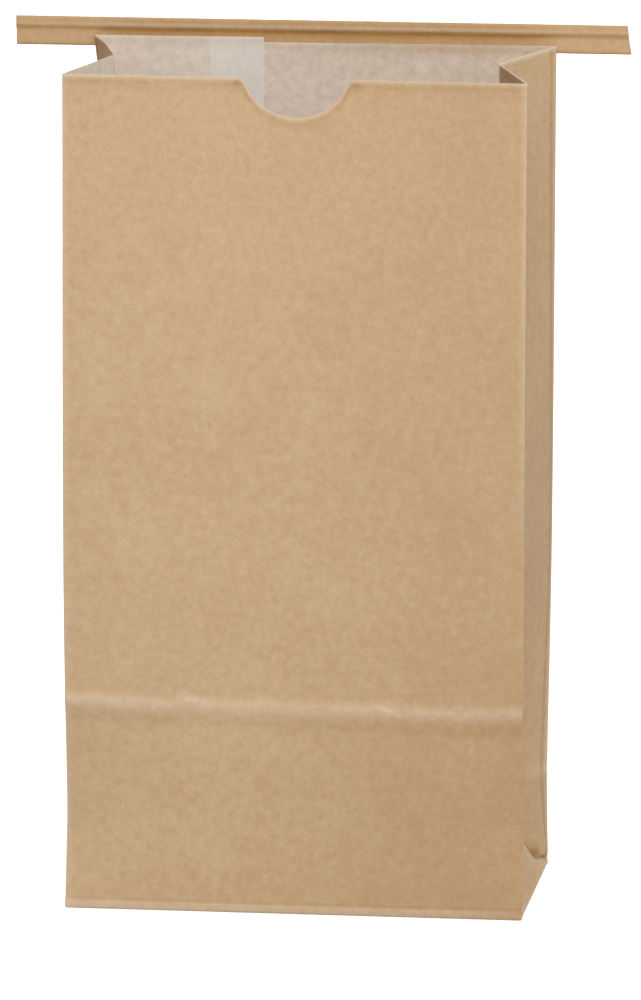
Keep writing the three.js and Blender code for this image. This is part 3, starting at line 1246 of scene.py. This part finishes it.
    def add_base(
        self, parts: MeshParts, stations: list[Station], edge: np.ndarray, places: np.ndarray
    ) -> None:
        """Adds the underside: a front flap that laps over the back flap, and both over the folded sides.

        Args:
            parts: The mesh that it becomes part of.
            stations: The places around the bag.
            edge: Point numbers of the walls' lower edge, one for each station.
            places: The same points, in millimetres.
        """
        corner = {
            (station.side, station.end): column
            for column, station in enumerate(stations)
            if station.part is Part.CORNER and station.share == MID_BEND
        }
        front_right, back_right = corner[(1, -1)], corner[(1, 1)]
        back_left, front_left = corner[(-1, 1)], corner[(-1, -1)]
        reach = places[front_right][0] - abs(places[front_right][1])
        lap = self.flap_lap / 2
        cross = {side: self.add_layers(parts, side * reach, 0.0, 3) for side in (-1, 1)}
        tip = {side: self.add_layers(parts, side * (reach - lap), lap, 2) for side in (-1, 1)}
        front = [*edge[front_left:], *edge[:front_right + 1]]
        back = edge[back_right:back_left + 1]
        right = edge[front_right:back_right + 1]
        left = edge[back_left:front_left + 1]
        for lower_edge, inner in (
            (front, [cross[-1][0], tip[-1][0], tip[1][0], cross[1][0]]),
            (back, [cross[1][1], tip[1][1], tip[-1][1], cross[-1][1]]),
            (right, [cross[1][2]]),
            (left, [cross[-1][2]]),
        ):
            parts.add_face([*lower_edge[::-1], *inner], Face.OUTSIDE)
        ring = [cross[1], tip[1], tip[-1], cross[-1]]
        cuts = [
            [*cross[1], edge[front_right]],
            [*cross[-1][::-1], edge[front_left]],
            [cross[1][2], cross[1][1], edge[back_right]],
            [cross[-1][1], cross[-1][2], edge[back_left]],
            *([first[0], second[0], second[1], first[1]] for first, second in zip(ring, ring[1:])),
        ]
        for cut in cuts:
            parts.add_face(cut, Face.CUT_EDGE)

    def add_inside(self, parts: MeshParts, stations: list[Station], rows: np.ndarray) -> np.ndarray:
        """Adds the lining of the walls and the floor.

        Args:
            parts: The mesh that they become part of.
            stations: The places around the bag.
            rows: The heights of the outside's rows.

        Returns:
            The point numbers of the cut edge.
        """
        inside_rows = np.array([self.floor, *rows[rows > self.floor + self.sheet]])
        grid, normals = self.surfaces(stations, inside_rows)
        grid = grid - normals * self.sheet
        grid[0, :, 2] = self.floor
        grid[..., 1] -= [self.lap_set_in(station, self.seam_inner_edge) for station in stations]
        masks = self.side_by_side([column.inside() for column in self.columns(stations, grid)])
        numbers = parts.add_points(grid, masks)
        parts.add_strips(numbers, Face.LINING, outward=False)
        parts.add_face(numbers[0], Face.LINING)
        return numbers[-1]


@dataclass(frozen=True)
class TieMarks:
    """Where painted highlight and painted shade lie on the strip, measured down from its top.

    Attributes:
        glued: Where it is glued to the bag, by the distance from its middle.
        free_scuff: The painted highlight on the lower half of the raised upper edge, where the strip is
            free.
        glued_scuff: The same where it is glued.
        free_groove: The painted shade in the groove below that edge, where the strip is free.
        glued_groove: The same where it is glued.
        web: The painted shade on the web where it is glued.
        top: The painted shade along the top.
        top_ends: Its strength where the strip is free and where it is glued.
        foot: The painted shade along the bottom, measured from there.
    """

    glued: Fade = Fade(66.0, 82.0, 1.0, 0.0)
    # Painted highlight and painted shade, stronger where the strip is glued over the bag.
    free_scuff: Mark = Mark(0.2, 2.2, 0.6)
    glued_scuff: Mark = Mark(0.5, 2.2, 0.6)
    free_groove: Mark = Mark(0.5, 3.3, 0.7)
    glued_groove: Mark = Mark(0.85, 4.1, 1.2)
    web: Fade = Fade(4.5, 5.5, 0.0, 0.25)
    top: Fade = Fade(0.5, 1.5, 1.0, 0.0)
    top_ends: Span = (0.2, 0.3)
    foot: Fade = Fade(-0.7, -0.2, 0.0, 0.45)


@dataclass
class TieStrip:
    """The paper strip along the back of the mouth, with a raised edge over each of its two wires."""

    left: float
    right: float
    middle: Vector
    height: float
    edge_radius: float
    channel_radius: float
    channel_cover: float = 0.5
    web: float = 0.7
    end_slant: float = 1.3
    upper_edge_height: float = 3.2
    upper_edge_squareness: float = 3.2
    groove_share: float = 0.45
    groove_start: float = 2.5
    groove_drop: float = 4.7
    lower_edge_share: float = 0.7
    arc_steps: int = 26
    web_steps: int = 12
    front_steps: int = 26
    channel_steps: int = 20
    step: float = 1.6
    swells: Ripple = Ripple(17.0, 0.16, 5.3)
    swell_reach: float = 0.8
    crinkles: Ripple = Ripple(2.6, 0.05, 1.9)
    marks: TieMarks = TieMarks()

    @classmethod
    def from_frame(cls) -> "TieStrip":
        """Measures the solid of the strip.

        Returns:
            The strip at that size and place.
        """
        low, high = (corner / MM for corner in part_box(Solid.TIE.value))
        radius = (high.y - low.y) / 2
        return cls(
            left=low.x,
            right=high.x,
            middle=(low + high) / 2,
            height=high.z - low.z,
            edge_radius=radius,
            channel_radius=radius - cls.channel_cover,
        )

    @property
    def wire_offset(self) -> float:
        """How far each wire is from the strip's middle line."""
        return self.height / 2 - self.edge_radius

    def upper_edge(self) -> list[Span]:
        """Draws the squarish upper edge.

        Returns:
            Its depths and heights, from its back over the top to its front.
        """
        rise = self.upper_edge_height / 2
        power = 2 / self.upper_edge_squareness
        start = math.asin((self.web / 2 / self.edge_radius) ** (1 / power)) - math.pi / 2
        found = []
        for angle in even(start, math.pi, self.arc_steps):
            depth, height = (
                math.copysign(abs(part) ** power, part) for part in (math.cos(angle), math.sin(angle))
            )
            found.append((self.edge_radius * depth, self.height / 2 - rise + rise * height))
        return found

    def front(self) -> list[Span]:
        """Draws the front, with its groove below the upper edge.

        Returns:
            Its depths and heights, from the top down.
        """
        top = self.height / 2
        low = -self.wire_offset
        found = []
        for height in even(top - self.upper_edge_height / 2, low, self.front_steps)[1:-1]:
            fall = smoothstep(top - height, self.groove_start, self.groove_drop)
            groove = self.edge_radius * lerp(1.0, self.groove_share, fall)
            level = smoothstep(top - height, self.groove_drop, top - low)
            found.append((-float(lerp(groove, self.edge_radius * self.lower_edge_share, level)), height))
        return found

    def lower_edge(self) -> list[Span]:
        """Draws the lower edge.

        Returns:
            Its depths and heights, from its front under the bottom to its back.
        """
        radius = self.edge_radius
        found = []
        for angle in even(math.pi, 2.5 * math.pi - math.asin(self.web / 2 / radius), self.arc_steps):
            depth = radius * (self.lower_edge_share if math.cos(angle) < 0 else 1.0)
            found.append((depth * math.cos(angle), radius * math.sin(angle) - self.wire_offset))
        return found

    def section(self) -> list[Span]:
        """Draws the strip's outline.

        Returns:
            Its depths and heights, counter-clockwise seen from the right end.
        """
        found = self.upper_edge() + self.front() + self.lower_edge()
        heights = even(found[-1][1], found[0][1], self.web_steps)[1:-1]
        return found + [(self.web / 2, height) for height in heights]

    def channel(self, height: float) -> list[Span]:
        """Draws the outline of the channel around one wire.

        Args:
            height: How far the wire is above the strip's middle line.

        Returns:
            Its depths and heights.
        """
        radius = self.channel_radius
        angles = even(0.0, 2 * math.pi, self.channel_steps)[:-1]
        return [(radius * math.cos(angle), height + radius * math.sin(angle)) for angle in angles]

    def swept(self, outline: list[Span]) -> np.ndarray:
        """Carries an outline along the strip, from its square left end to its slanted right end.

        Args:
            outline: Depths and heights around the strip's middle line.

        Returns:
            The points, as rows of outlines.
        """
        depths, heights = np.array(outline).T
        ends = self.right - self.end_slant * (heights / self.height + 0.5)
        shares = np.array(even(0.0, 1.0, round((self.right - self.left) / self.step)))
        x = lerp(self.left, ends, shares[:, None])
        y, z = (np.broadcast_to(row, x.shape) for row in (self.middle.y + depths, self.middle.z + heights))
        return np.stack([x, y, z], axis=-1)

    def uneven(self, grid: np.ndarray) -> np.ndarray:
        """Gives the paper its swells in the web and its crinkles on the edges.

        Args:
            grid: The points of the strip's outside.

        Returns:
            The moved points.
        """
        grid = grid.copy()
        offset = np.abs(grid[..., 2] - self.middle.z)
        in_web = 1 - smoothstep(offset, self.swell_reach, self.height / 2 - self.upper_edge_height)
        swells = self.swells.at(grid)
        crinkles = self.crinkles.at(grid)
        grid[..., 1] += in_web * swells + crinkles
        grid[..., 2] += (1 - in_web) * crinkles
        return grid

    def wear(self, grid: np.ndarray) -> Masks:
        """Gives the masks of the strip's outside.

        Args:
            grid: Its points before they are made uneven.

        Returns:
            The painted highlight on the raised edge, and the painted shade beside it, along the top and
            along the bottom.
        """
        marks = self.marks
        drop = self.middle.z + self.height / 2 - grid[..., 2]
        glued = marks.glued.at(np.abs(grid[..., 0] - self.middle.x))
        # Painted highlight on the raised edge's lower half, and painted shade in the groove below it.
        worn = marks.free_scuff.toward(marks.glued_scuff, glued).at(drop)
        pressed = marks.free_groove.toward(marks.glued_groove, glued).at(drop)
        # Painted shade on the glued web, along the bottom and along the top.
        pressed = pressed + glued * marks.web.at(drop) + marks.foot.at(drop - self.height)
        pressed = pressed + lerp(*marks.top_ends, glued) * marks.top.at(drop)
        return {Mask.WORN: worn, Mask.PRESSED: pressed}

    def build(self, finishes: "Finishes") -> bpy.types.Object:
        """Makes the strip.

        Args:
            finishes: The materials of the part.

        Returns:
            The strip, in place of its solid and riding with the part.
        """
        parts = MeshParts()
        outlines = [self.section()]
        outside = self.swept(outlines[0])
        loops = [parts.add_points(self.uneven(outside), self.wear(outside))]
        parts.add_strips(loops[0], Face.OUTSIDE)
        for height in (self.wire_offset, -self.wire_offset):
            outlines.append(self.channel(height))
            loops.append(parts.add_points(self.swept(outlines[-1])))
            parts.add_strips(loops[-1], Face.OUTSIDE, outward=False)
        for end, order in ((0, -1), (-1, 1)):
            numbers = np.concatenate([loop[end] for loop in loops])
            for triangle in self.end_triangles(outlines):
                parts.add_face(numbers[triangle][::order], Face.CUT_EDGE)
        strip = parts.build("tie_paper_strip", [finishes.tie_paper, finishes.lining, finishes.cut_edge])
        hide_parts(Solid.TIE.value)
        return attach(strip, BODY)

    @staticmethod
    def end_triangles(outlines: list[list[Span]]) -> list[list[int]]:
        """Fills the strip's outline around the two channels.

        Args:
            outlines: The outline and those of the channels.

        Returns:
            Triangles of point numbers, all counter-clockwise.
        """
        flat = [[Vector((*place, 0.0)) for place in outline] for outline in outlines]
        places = [place for outline in flat for place in outline]
        found = []
        for triangle in geometry.tessellate_polygon(flat):
            a, b, c = (places[number] for number in triangle)
            found.append(list(triangle) if (b - a).cross(c - a).z > 0 else list(triangle)[::-1])
        return found


class TieWires:
    """The two soft wires inside the strip, which are their solids with a finish."""

    solids = (Solid.UPPER_WIRE, Solid.LOWER_WIRE)

    def build(self, finishes: "Finishes") -> list[bpy.types.Object]:
        """Dresses the wires.

        Args:
            finishes: The materials of the part.

        Returns:
            The two wires.
        """
        wires = [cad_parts[solid.value] for solid in self.solids]
        for wire in wires:
            wire.data.materials.clear()
            wire.data.materials.append(finishes.wire)
            wire.data.shade_smooth()
            wire.data.set_sharp_from_angle(angle=SHARP_ANGLE)
        return wires


@dataclass(frozen=True)
class Grain:
    """The kind of a soft noise.

    Attributes:
        detail: How many finer layers it has.
        rough: How strong those are.
        curl: How much it is curled, to look like fibres.
        squeeze: How much each axis is squeezed together, if at all.
    """

    detail: float
    rough: float
    curl: float = 0.0
    squeeze: Triple | None = None


class Shading:
    """A short way to add and join the nodes of one tree."""

    def __init__(self, tree: bpy.types.NodeTree) -> None:
        """Starts on an empty tree."""
        self.tree = tree
        self.tree.nodes.clear()

    def add(self, kind: str, inputs: dict[Any, Any] | None = None, **settings: Any) -> bpy.types.Node:
        """Adds a node.

        Args:
            kind: The node's type, without ShaderNode.
            inputs: For each socket's name or number, a value or the socket that feeds it.
            settings: The node's own settings.

        Returns:
            The new node.
        """
        prefix = "" if kind.startswith("NodeGroup") else "ShaderNode"
        node = self.tree.nodes.new(prefix + kind)
        for name, value in settings.items():
            setattr(node, name, value)
        for key, value in (inputs or {}).items():
            if isinstance(value, bpy.types.NodeSocket):
                self.tree.links.new(value, node.inputs[key])
            else:
                node.inputs[key].default_value = value
        return node

    def place(self) -> bpy.types.NodeSocket:
        """Returns the place on the object, in millimetres."""
        coordinates = self.add("TexCoord").outputs["Object"]
        return self.add("VectorMath", {0: coordinates, "Scale": 1 / MM}, operation="SCALE").outputs[0]

    def mask(self, mask: Mask) -> bpy.types.NodeSocket:
        """Returns a mask that the mesh keeps at its points."""
        return self.add("Attribute", attribute_name=mask.value).outputs["Fac"]

    def math(self, operation: str, first: Any, second: Any) -> bpy.types.NodeSocket:
        """Returns a sum, product or the like of two values."""
        return self.add("Math", {0: first, 1: second}, operation=operation).outputs[0]

    def total(self, *parts: tuple[Any, float]) -> bpy.types.NodeSocket:
        """Returns the sum of some values, each times its share."""
        scaled = [self.math("MULTIPLY", value, share) for value, share in parts]
        return reduce(partial(self.math, "ADD"), scaled)

    def ramp(self, value: Any, source: Span, target: Span) -> bpy.types.NodeSocket:
        """Returns a value carried from one range to another, and held at its ends."""
        inputs = dict(zip(("Value", "From Min", "From Max", "To Min", "To Max"), (value, *source, *target)))
        return self.add("MapRange", inputs).outputs["Result"]

    def mix(self, share: Any, first: Any, second: Any) -> bpy.types.NodeSocket:
        """Returns a mix of two colours."""
        return self.add("Mix", {"Factor": share, 6: first, 7: second}, data_type="RGBA").outputs[2]

    def noise(self, place: Any, scale: Any, grain: Grain) -> bpy.types.NodeSocket:
        """Adds a soft noise.

        Args:
            place: Where it is looked up.
            scale: How close its swells are.
            grain: What kind of noise it is.

        Returns:
            Its value.
        """
        if grain.squeeze:
            place = self.add("Mapping", {"Vector": place, "Scale": grain.squeeze}).outputs[0]
        inputs = {
            "Vector": place,
            "Scale": scale,
            "Detail": grain.detail,
            "Roughness": grain.rough,
            "Distortion": grain.curl,
        }
        return self.add("TexNoise", inputs).outputs["Fac"]

    def relief(self, height: Any, strength: float, distance: float) -> bpy.types.NodeSocket:
        """Returns normals that follow a height, whose full rise is a distance in millimetres."""
        inputs = {"Height": height, "Strength": strength, "Distance": distance * MM}
        return self.add("Bump", inputs).outputs["Normal"]

    def surface(self, inputs: dict[str, Any]) -> None:
        """Adds the material's shader and its output."""
        shader = self.add("BsdfPrincipled", inputs)
        self.add("OutputMaterial", {"Surface": shader.outputs[0]})


def new_material(name: str) -> tuple[bpy.types.Material, Shading]:
    """Starts a material.

    Args:
        name: The material's name.

    Returns:
        The material and a start on its tree.
    """
    material = bpy.data.materials.new(name)
    material.use_nodes = True
    return material, Shading(material.node_tree)


def node_group(name: str, inputs: dict[str, str], outputs: dict[str, str]) -> tuple[Shading, Any, Any]:
    """Starts a shader node group.

    Args:
        name: The group's name.
        inputs: The kind of each input socket: Float, Vector or Color.
        outputs: The kind of each output socket.

    Returns:
        The group's tree, the sockets inside that its inputs come from, and the node its outputs go to.
    """
    tree = bpy.data.node_groups.new(name, "ShaderNodeTree")
    for way, sockets in (("INPUT", inputs), ("OUTPUT", outputs)):
        for socket, kind in sockets.items():
            tree.interface.new_socket(socket, in_out=way, socket_type=f"NodeSocket{kind}")
    shading = Shading(tree)
    return shading, shading.add("NodeGroupInput").outputs, shading.add("NodeGroupOutput")


@dataclass(frozen=True)
class PaperFibres:
    """The node group that gives paper its clouds, mottle, fibres and dark flecks.

    Attributes:
        clouds: The widest noise.
        mottle: The noise of the mottle.
        upright: The noise of fibres that lie upright.
        level: The noise of fibres that lie level.
        specks: The noise whose peaks are flecks.
        speck_scale: How close the specks are.
        speck_peaks: The values between which a fleck starts to show.
        fleck: The strength of a fleck.
        tone_shares: How much clouds, mottle and fibres add to the tone.
        height_shares: How much fibres and mottle add to the height.
    """

    clouds: Grain = Grain(3.0, 0.55)
    mottle: Grain = Grain(4.0, 0.62)
    upright: Grain = Grain(3.0, 0.6, 1.2, (1.0, 1.0, 0.5))
    level: Grain = Grain(3.0, 0.6, 1.2, (0.6, 0.6, 1.0))
    specks: Grain = Grain(1.0, 0.4, 0.0, (1.0, 1.0, 0.45))
    speck_scale: float = 1.15
    speck_peaks: Span = (0.76, 0.83)
    fleck: float = 0.5
    tone_shares: Triple = (0.2, 0.45, 0.35)
    height_shares: Span = (0.65, 0.35)

    def group(self) -> bpy.types.NodeTree:
        """Makes the group.

        Returns:
            Its tree, which gives a tone, flecks and a height.
        """
        shading, start, end = node_group(
            "paper fibres",
            {"Place": "Vector", "Cloud Scale": "Float", "Mottle Scale": "Float", "Fibre Scale": "Float"},
            {"Tone": "Float", "Fleck": "Float", "Height": "Float"},
        )
        place = start["Place"]
        clouds = shading.noise(place, start["Cloud Scale"], self.clouds)
        mottle = shading.noise(place, start["Mottle Scale"], self.mottle)
        upright = shading.noise(place, start["Fibre Scale"], self.upright)
        level = shading.noise(place, start["Fibre Scale"], self.level)
        specks = shading.noise(place, self.speck_scale, self.specks)
        fibres = shading.total((upright, 0.5), (level, 0.5))
        given = {
            "Tone": shading.total(*zip((clouds, mottle, fibres), self.tone_shares)),
            "Fleck": shading.ramp(specks, self.speck_peaks, (0.0, self.fleck)),
            "Height": shading.total(*zip((fibres, mottle), self.height_shares)),
        }
        for name, socket in given.items():
            shading.tree.links.new(socket, end.inputs[name])
        return shading.tree


@dataclass(frozen=True)
class ScuffingAndPaintedLight:
    """The node group that pales paper with scuffs and painted highlight, and darkens it with press lines
    and painted shade.

    Attributes:
        breaks: The noise that breaks up the paled and darkened places.
        break_scale: How close those breaks are.
        worn_span: The values of the noise between which the paled places change.
        worn_shares: How strongly they show at both ends of that span.
        pressed_span: The same values for the darkened places.
        pressed_shares: How strongly those show at both ends of it.
    """

    breaks: Grain = Grain(4.0, 0.65)
    break_scale: float = 0.55
    worn_span: Span = (0.3, 0.62)
    worn_shares: Span = (0.45, 1.05)
    pressed_span: Span = (0.35, 0.7)
    pressed_shares: Span = (1.0, 0.7)

    def group(self) -> bpy.types.NodeTree:
        """Makes the group.

        Returns:
            Its tree, which gives a colour.
        """
        colours = dict.fromkeys(("Colour", "Worn Colour", "Pressed Colour"), "Color")
        values = {"Worn": "Float", "Pressed": "Float", "Place": "Vector"}
        shading, start, end = node_group("scuffed folds", {**colours, **values}, {"Colour": "Color"})
        breaks = shading.noise(start["Place"], self.break_scale, self.breaks)
        worn = shading.ramp(breaks, self.worn_span, self.worn_shares)
        worn = shading.math("MULTIPLY", start["Worn"], worn)
        pressed = shading.ramp(breaks, self.pressed_span, self.pressed_shares)
        pressed = shading.math("MULTIPLY", start["Pressed"], pressed)
        # Painted shade and painted highlight go into the colour here, with the scuffs and press lines.
        darker = shading.mix(pressed, start["Colour"], start["Pressed Colour"])
        paler = shading.mix(worn, darker, start["Worn Colour"])
        shading.tree.links.new(paler, end.inputs["Colour"])
        return shading.tree


@dataclass(frozen=True)
class PaperFinish:
    """A paper's colours and how strongly its fibres show.

    Attributes:
        name: The material's name.
        dark: Its colour in the deepest part of its mottle.
        light: Its colour in the palest part.
        fleck: The colour of its flecks.
        worn: Its colour where it is scuffed or cut, and for painted highlight and painted light.
        pressed: Its colour along a press line, and for painted shade.
        contrast: The width of the tones that run from dark to light.
        rough: Its lowest and highest roughness.
        relief: How strongly the fibres stand out.
        shine: Its specular level.
        lap: Its colour where two sheets lie on each other, if they do, and for painted light left of the
            lap.
        lap_share: How much of that colour shows there.
        scales: How close its clouds, mottle and fibres are.
        rough_tones: The tones that have the lowest and highest roughness.
        fibre_height: How high a fibre can stand out.
    """

    name: str
    dark: Colour
    light: Colour
    fleck: Colour
    worn: Colour
    pressed: Colour
    contrast: float
    rough: Span
    relief: float
    shine: float
    lap: Colour | None = None
    lap_share: float = 0.4
    scales: Triple = (0.03, 0.36, 1.6)
    rough_tones: Span = (0.35, 0.65)
    fibre_height: float = 0.25

    def material(self, fibres: bpy.types.NodeTree, folds: bpy.types.NodeTree) -> bpy.types.Material:
        """Makes the material.

        Args:
            fibres: The group for the paper's fibres.
            folds: The group that gives its scuffs and press lines, and its painted highlight and painted
                shade.

        Returns:
            The new material.
        """
        material, shading = new_material(self.name)
        place = shading.place()
        scales = dict(zip(("Cloud Scale", "Mottle Scale", "Fibre Scale"), self.scales))
        grain = shading.add("Group", {"Place": place, **scales}, node_tree=fibres).outputs
        half = self.contrast / 2
        share = shading.ramp(grain["Tone"], (0.5 - half, 0.5 + half), (0.0, 1.0))
        colour = shading.mix(share, linear(self.dark), linear(self.light))
        colour = shading.mix(grain["Fleck"], colour, linear(self.fleck))
        if self.lap:
            share = shading.math("MULTIPLY", shading.mask(Mask.LAP), self.lap_share)
            colour = shading.mix(share, colour, linear(self.lap))
        inputs = {
            "Colour": colour,
            "Worn Colour": linear(self.worn),
            "Pressed Colour": linear(self.pressed),
            "Worn": shading.mask(Mask.WORN),
            "Pressed": shading.mask(Mask.PRESSED),
            "Place": place,
        }
        scuffed = shading.add("Group", inputs, node_tree=folds).outputs
        shading.surface({
            "Base Color": scuffed["Colour"],
            "Roughness": shading.ramp(grain["Tone"], self.rough_tones, self.rough),
            "Specular IOR Level": self.shine,
            "Normal": shading.relief(grain["Height"], self.relief, self.fibre_height),
        })
        return material


@dataclass(frozen=True)
class WireFinish:
    """Soft drawn steel, with fine lines along it and dull patches.

    Attributes:
        name: The material's name.
        bright: Its colour where it is bright.
        dull: Its colour where it is dull.
        lines: The noise of its lines, which run along x.
        line_scale: How close they are.
        line_tones: The values of that noise that have the lowest and highest roughness.
        rough: Its lowest and highest roughness.
        relief: How strongly the lines stand out.
        line_height: How high a line can stand out.
        patches: The noise of its dull patches.
        patch_scale: How close they are.
    """

    name: str = "annealed wire"
    bright: Colour = (176, 176, 178)
    dull: Colour = (136, 134, 131)
    lines: Grain = Grain(3.0, 0.6, 0.0, (0.08, 1.0, 1.0))
    line_scale: float = 9.0
    line_tones: Span = (0.3, 0.7)
    rough: Span = (0.28, 0.5)
    relief: float = 0.2
    line_height: float = 0.02
    patches: Grain = Grain(3.0, 0.6)
    patch_scale: float = 0.4

    def material(self) -> bpy.types.Material:
        """Makes the material.

        Returns:
            The new material.
        """
        material, shading = new_material(self.name)
        place = shading.place()
        lines = shading.noise(place, self.line_scale, self.lines)
        patches = shading.noise(place, self.patch_scale, self.patches)
        shading.surface({
            "Base Color": shading.mix(patches, linear(self.bright), linear(self.dull)),
            "Metallic": 1.0,
            "Roughness": shading.ramp(lines, self.line_tones, self.rough),
            "Normal": shading.relief(lines, self.relief, self.line_height),
        })
        return material


class Finishes:
    """The materials of the part, made once."""

    def __init__(self) -> None:
        """Makes the node groups and the materials that use them."""
        groups = PaperFibres().group(), ScuffingAndPaintedLight().group()
        self.kraft = PaperFinish(
            name="brown kraft",
            dark=(190, 157, 119),
            light=(208, 178, 143),
            fleck=(168, 133, 94),
            worn=(222, 204, 180),
            # Darker colour for press lines and painted shade.
            pressed=(146, 107, 62),
            contrast=0.27,
            rough=(0.74, 0.9),
            relief=0.3,
            shine=0.22,
        ).material(*groups)
        self.lining = PaperFinish(
            name="pale lining",
            dark=(203, 187, 170),
            light=(235, 221, 205),
            fleck=(200, 181, 161),
            # Paler colour also for painted light and the painted highlight on the rim; darker colour for
            # the band below the rim and the painted shade in the right gusset's wedge.
            worn=(234, 224, 211),
            pressed=(172, 128, 66),
            contrast=0.3,
            rough=(0.5, 0.68),
            relief=0.18,
            shine=0.3,
            # Also the colour of the painted light left of the lap.
            lap=(234, 234, 233),
        ).material(*groups)
        self.cut_edge = PaperFinish(
            name="cut edge",
            dark=(220, 202, 178),
            light=(236, 224, 205),
            fleck=(200, 176, 146),
            worn=(238, 228, 212),
            pressed=(200, 178, 150),
            contrast=0.3,
            rough=(0.8, 0.95),
            relief=0.3,
            shine=0.2,
        ).material(*groups)
        self.tie_paper = PaperFinish(
            name="tie kraft",
            dark=(177, 141, 100),
            light=(202, 169, 130),
            fleck=(154, 118, 77),
            # Paler colour for the painted highlight on the raised edge; darker colour for painted shade.
            worn=(220, 197, 170),
            pressed=(172, 122, 46),
            contrast=0.32,
            rough=(0.62, 0.8),
            relief=0.22,
            shine=0.28,
        ).material(*groups)
        self.wire = WireFinish().material()


@dataclass(frozen=True)
class Lamp:
    """A soft square lamp.

    Attributes:
        name: The lamp's name.
        place: Where it stands, in metres.
        size: The length of its sides.
        power: Its power in watts.
        aim: The point that it looks at.
    """

    name: str
    place: Triple
    size: float
    power: float
    aim: Triple = (0.0, 0.0, 0.14)

    def build(self) -> None:
        """Makes the lamp."""
        data = bpy.data.lights.new(self.name, "AREA")
        data.shape = "SQUARE"
        data.size = self.size
        data.energy = self.power
        lamp = add_object(self.name, data)
        lamp.location = self.place
        lamp.rotation_euler = (Vector(self.aim) - Vector(self.place)).to_track_quat("-Z", "Y").to_euler()


@dataclass
class Studio:
    """The pale floor, the lamps, the world and the camera.

    Attributes:
        azimuth: How far the camera stands round to the right, in degrees.
        elevation: How far above the horizon it stands, in degrees.
        roll: How far it is turned about its line of sight, in degrees.
        distance: How far it stands from its target, in metres.
        target: The point that it looks at, in metres.
        picture_scale: The picture's pixels for each millimetre at the target.
        sensor: The camera's sensor width.
        floor_reach: The length of the floor's sides, in metres.
        floor_gap: How far the floor is below the bag, in metres.
        floor_colour: The floor's own colour.
        floor_rough: Its roughness.
        floor_shine: Its specular level.
        floor_lift: How much the floor is paled where it is looked at.
        sky_light: How strongly the sky lights the bag on the left and on the right.
        lamps: The lamps.
    """

    azimuth: float = 8.376
    elevation: float = 13.465
    roll: float = -0.613
    distance: float = 3.5
    target: Triple = (0.00553, 0.0, 0.1317)
    picture_scale: float = 3.043
    sensor: float = 36.0
    floor_reach: float = 12.0
    floor_gap: float = 0.0001
    floor_colour: Colour = (208, 207, 205)
    floor_rough: float = 0.9
    floor_shine: float = 0.1
    floor_lift: float = 0.72
    sky_light: Span = (0.4, 0.6)
    lamps: tuple[Lamp, ...] = (
        Lamp("key", (0.43, -1.4, 1.5), 0.8, 25.0),
        Lamp("back", (-0.4, 1.3, 0.6), 1.0, 7.0),
    )

    def build(self) -> None:
        """Makes the whole studio."""
        bpy.context.scene.view_settings.view_transform = "Standard"
        self.floor()
        for lamp in self.lamps:
            lamp.build()
        self.world()
        bpy.context.scene.camera = self.camera()

    def floor(self) -> bpy.types.Object:
        """Makes a wide plain floor, which takes the bag's shadow.

        Returns:
            The floor.
        """
        reach = self.floor_reach / 2
        mesh = bpy.data.meshes.new("floor")
        corners = [(-reach, -reach), (reach, -reach), (reach, reach), (-reach, reach)]
        mesh.from_pydata([(x, y, -self.floor_gap) for x, y in corners], [], [(0, 1, 2, 3)])
        material, shading = new_material("floor paint")
        shading.surface({
            "Base Color": linear(self.floor_colour),
            "Roughness": self.floor_rough,
            "Specular IOR Level": self.floor_shine,
            "Emission Color": WHITE,
            "Emission Strength": shading.math("MULTIPLY", self.looked_at(shading), self.floor_lift),
        })
        mesh.materials.append(material)
        return add_object("floor", mesh)

    def world(self) -> None:
        """Makes a sky that is white to look at and lights the bag more strongly from the right than from
        the left.
        """
        world = bpy.data.worlds.new("studio")
        world.use_nodes = True
        shading = Shading(world.node_tree)
        toward = shading.add("SeparateXYZ", {0: shading.add("TexCoord").outputs["Generated"]}).outputs["X"]
        light = shading.ramp(toward, (-1.0, 1.0), self.sky_light)
        strength = shading.math("MAXIMUM", light, self.looked_at(shading))
        sky = shading.add("Background", {"Color": WHITE, "Strength": strength})
        shading.add("OutputWorld", {"Surface": sky.outputs[0]})
        bpy.context.scene.world = world

    @staticmethod
    def looked_at(shading: Shading) -> bpy.types.NodeSocket:
        """Finds where the floor or the sky is looked at, straight, mirrored or through something.

        Args:
            shading: The tree to add the nodes to.

        Returns:
            A value that is 1 where it is looked at, and otherwise 0.
        """
        path = shading.add("LightPath").outputs
        seen = shading.math("MAXIMUM", path["Is Camera Ray"], path["Is Glossy Ray"])
        return shading.math("MAXIMUM", seen, path["Is Transmission Ray"])

    def camera(self) -> bpy.types.Object:
        """Makes the camera, at the photograph's viewing angle.

        Returns:
            The camera.
        """
        turn, rise, roll = (math.radians(angle) for angle in (self.azimuth, self.elevation, self.roll))
        level = math.cos(rise)
        back = Vector((math.sin(turn) * level, -math.cos(turn) * level, math.sin(rise)))
        data = bpy.data.cameras.new("camera")
        data.sensor_width = self.sensor
        data.lens = self.picture_scale * self.distance / MM / IMAGE_HEIGHT * self.sensor
        camera = add_object("camera", data)
        aim = (-back).to_track_quat("-Z", "Y").to_matrix()
        camera.matrix_world = (aim @ Matrix.Rotation(roll, 3, "Z")).to_4x4()
        camera.location = Vector(self.target) + back * self.distance
        return camera


def main() -> None:
    """Builds the pieces in order and reports each one."""
    logging.basicConfig(level=logging.INFO, format="%(name)s: %(message)s")
    finishes = Finishes()
    bag = PaperBag.from_frame().build(finishes)
    tie = TieStrip.from_frame().build(finishes)
    wires = TieWires().build(finishes)
    Studio().build()
    for piece in (bag, tie, *wires):
        LOG.info("%s: %d faces", piece.name, len(piece.data.polygons))


if __name__ == "__main__":
    main()
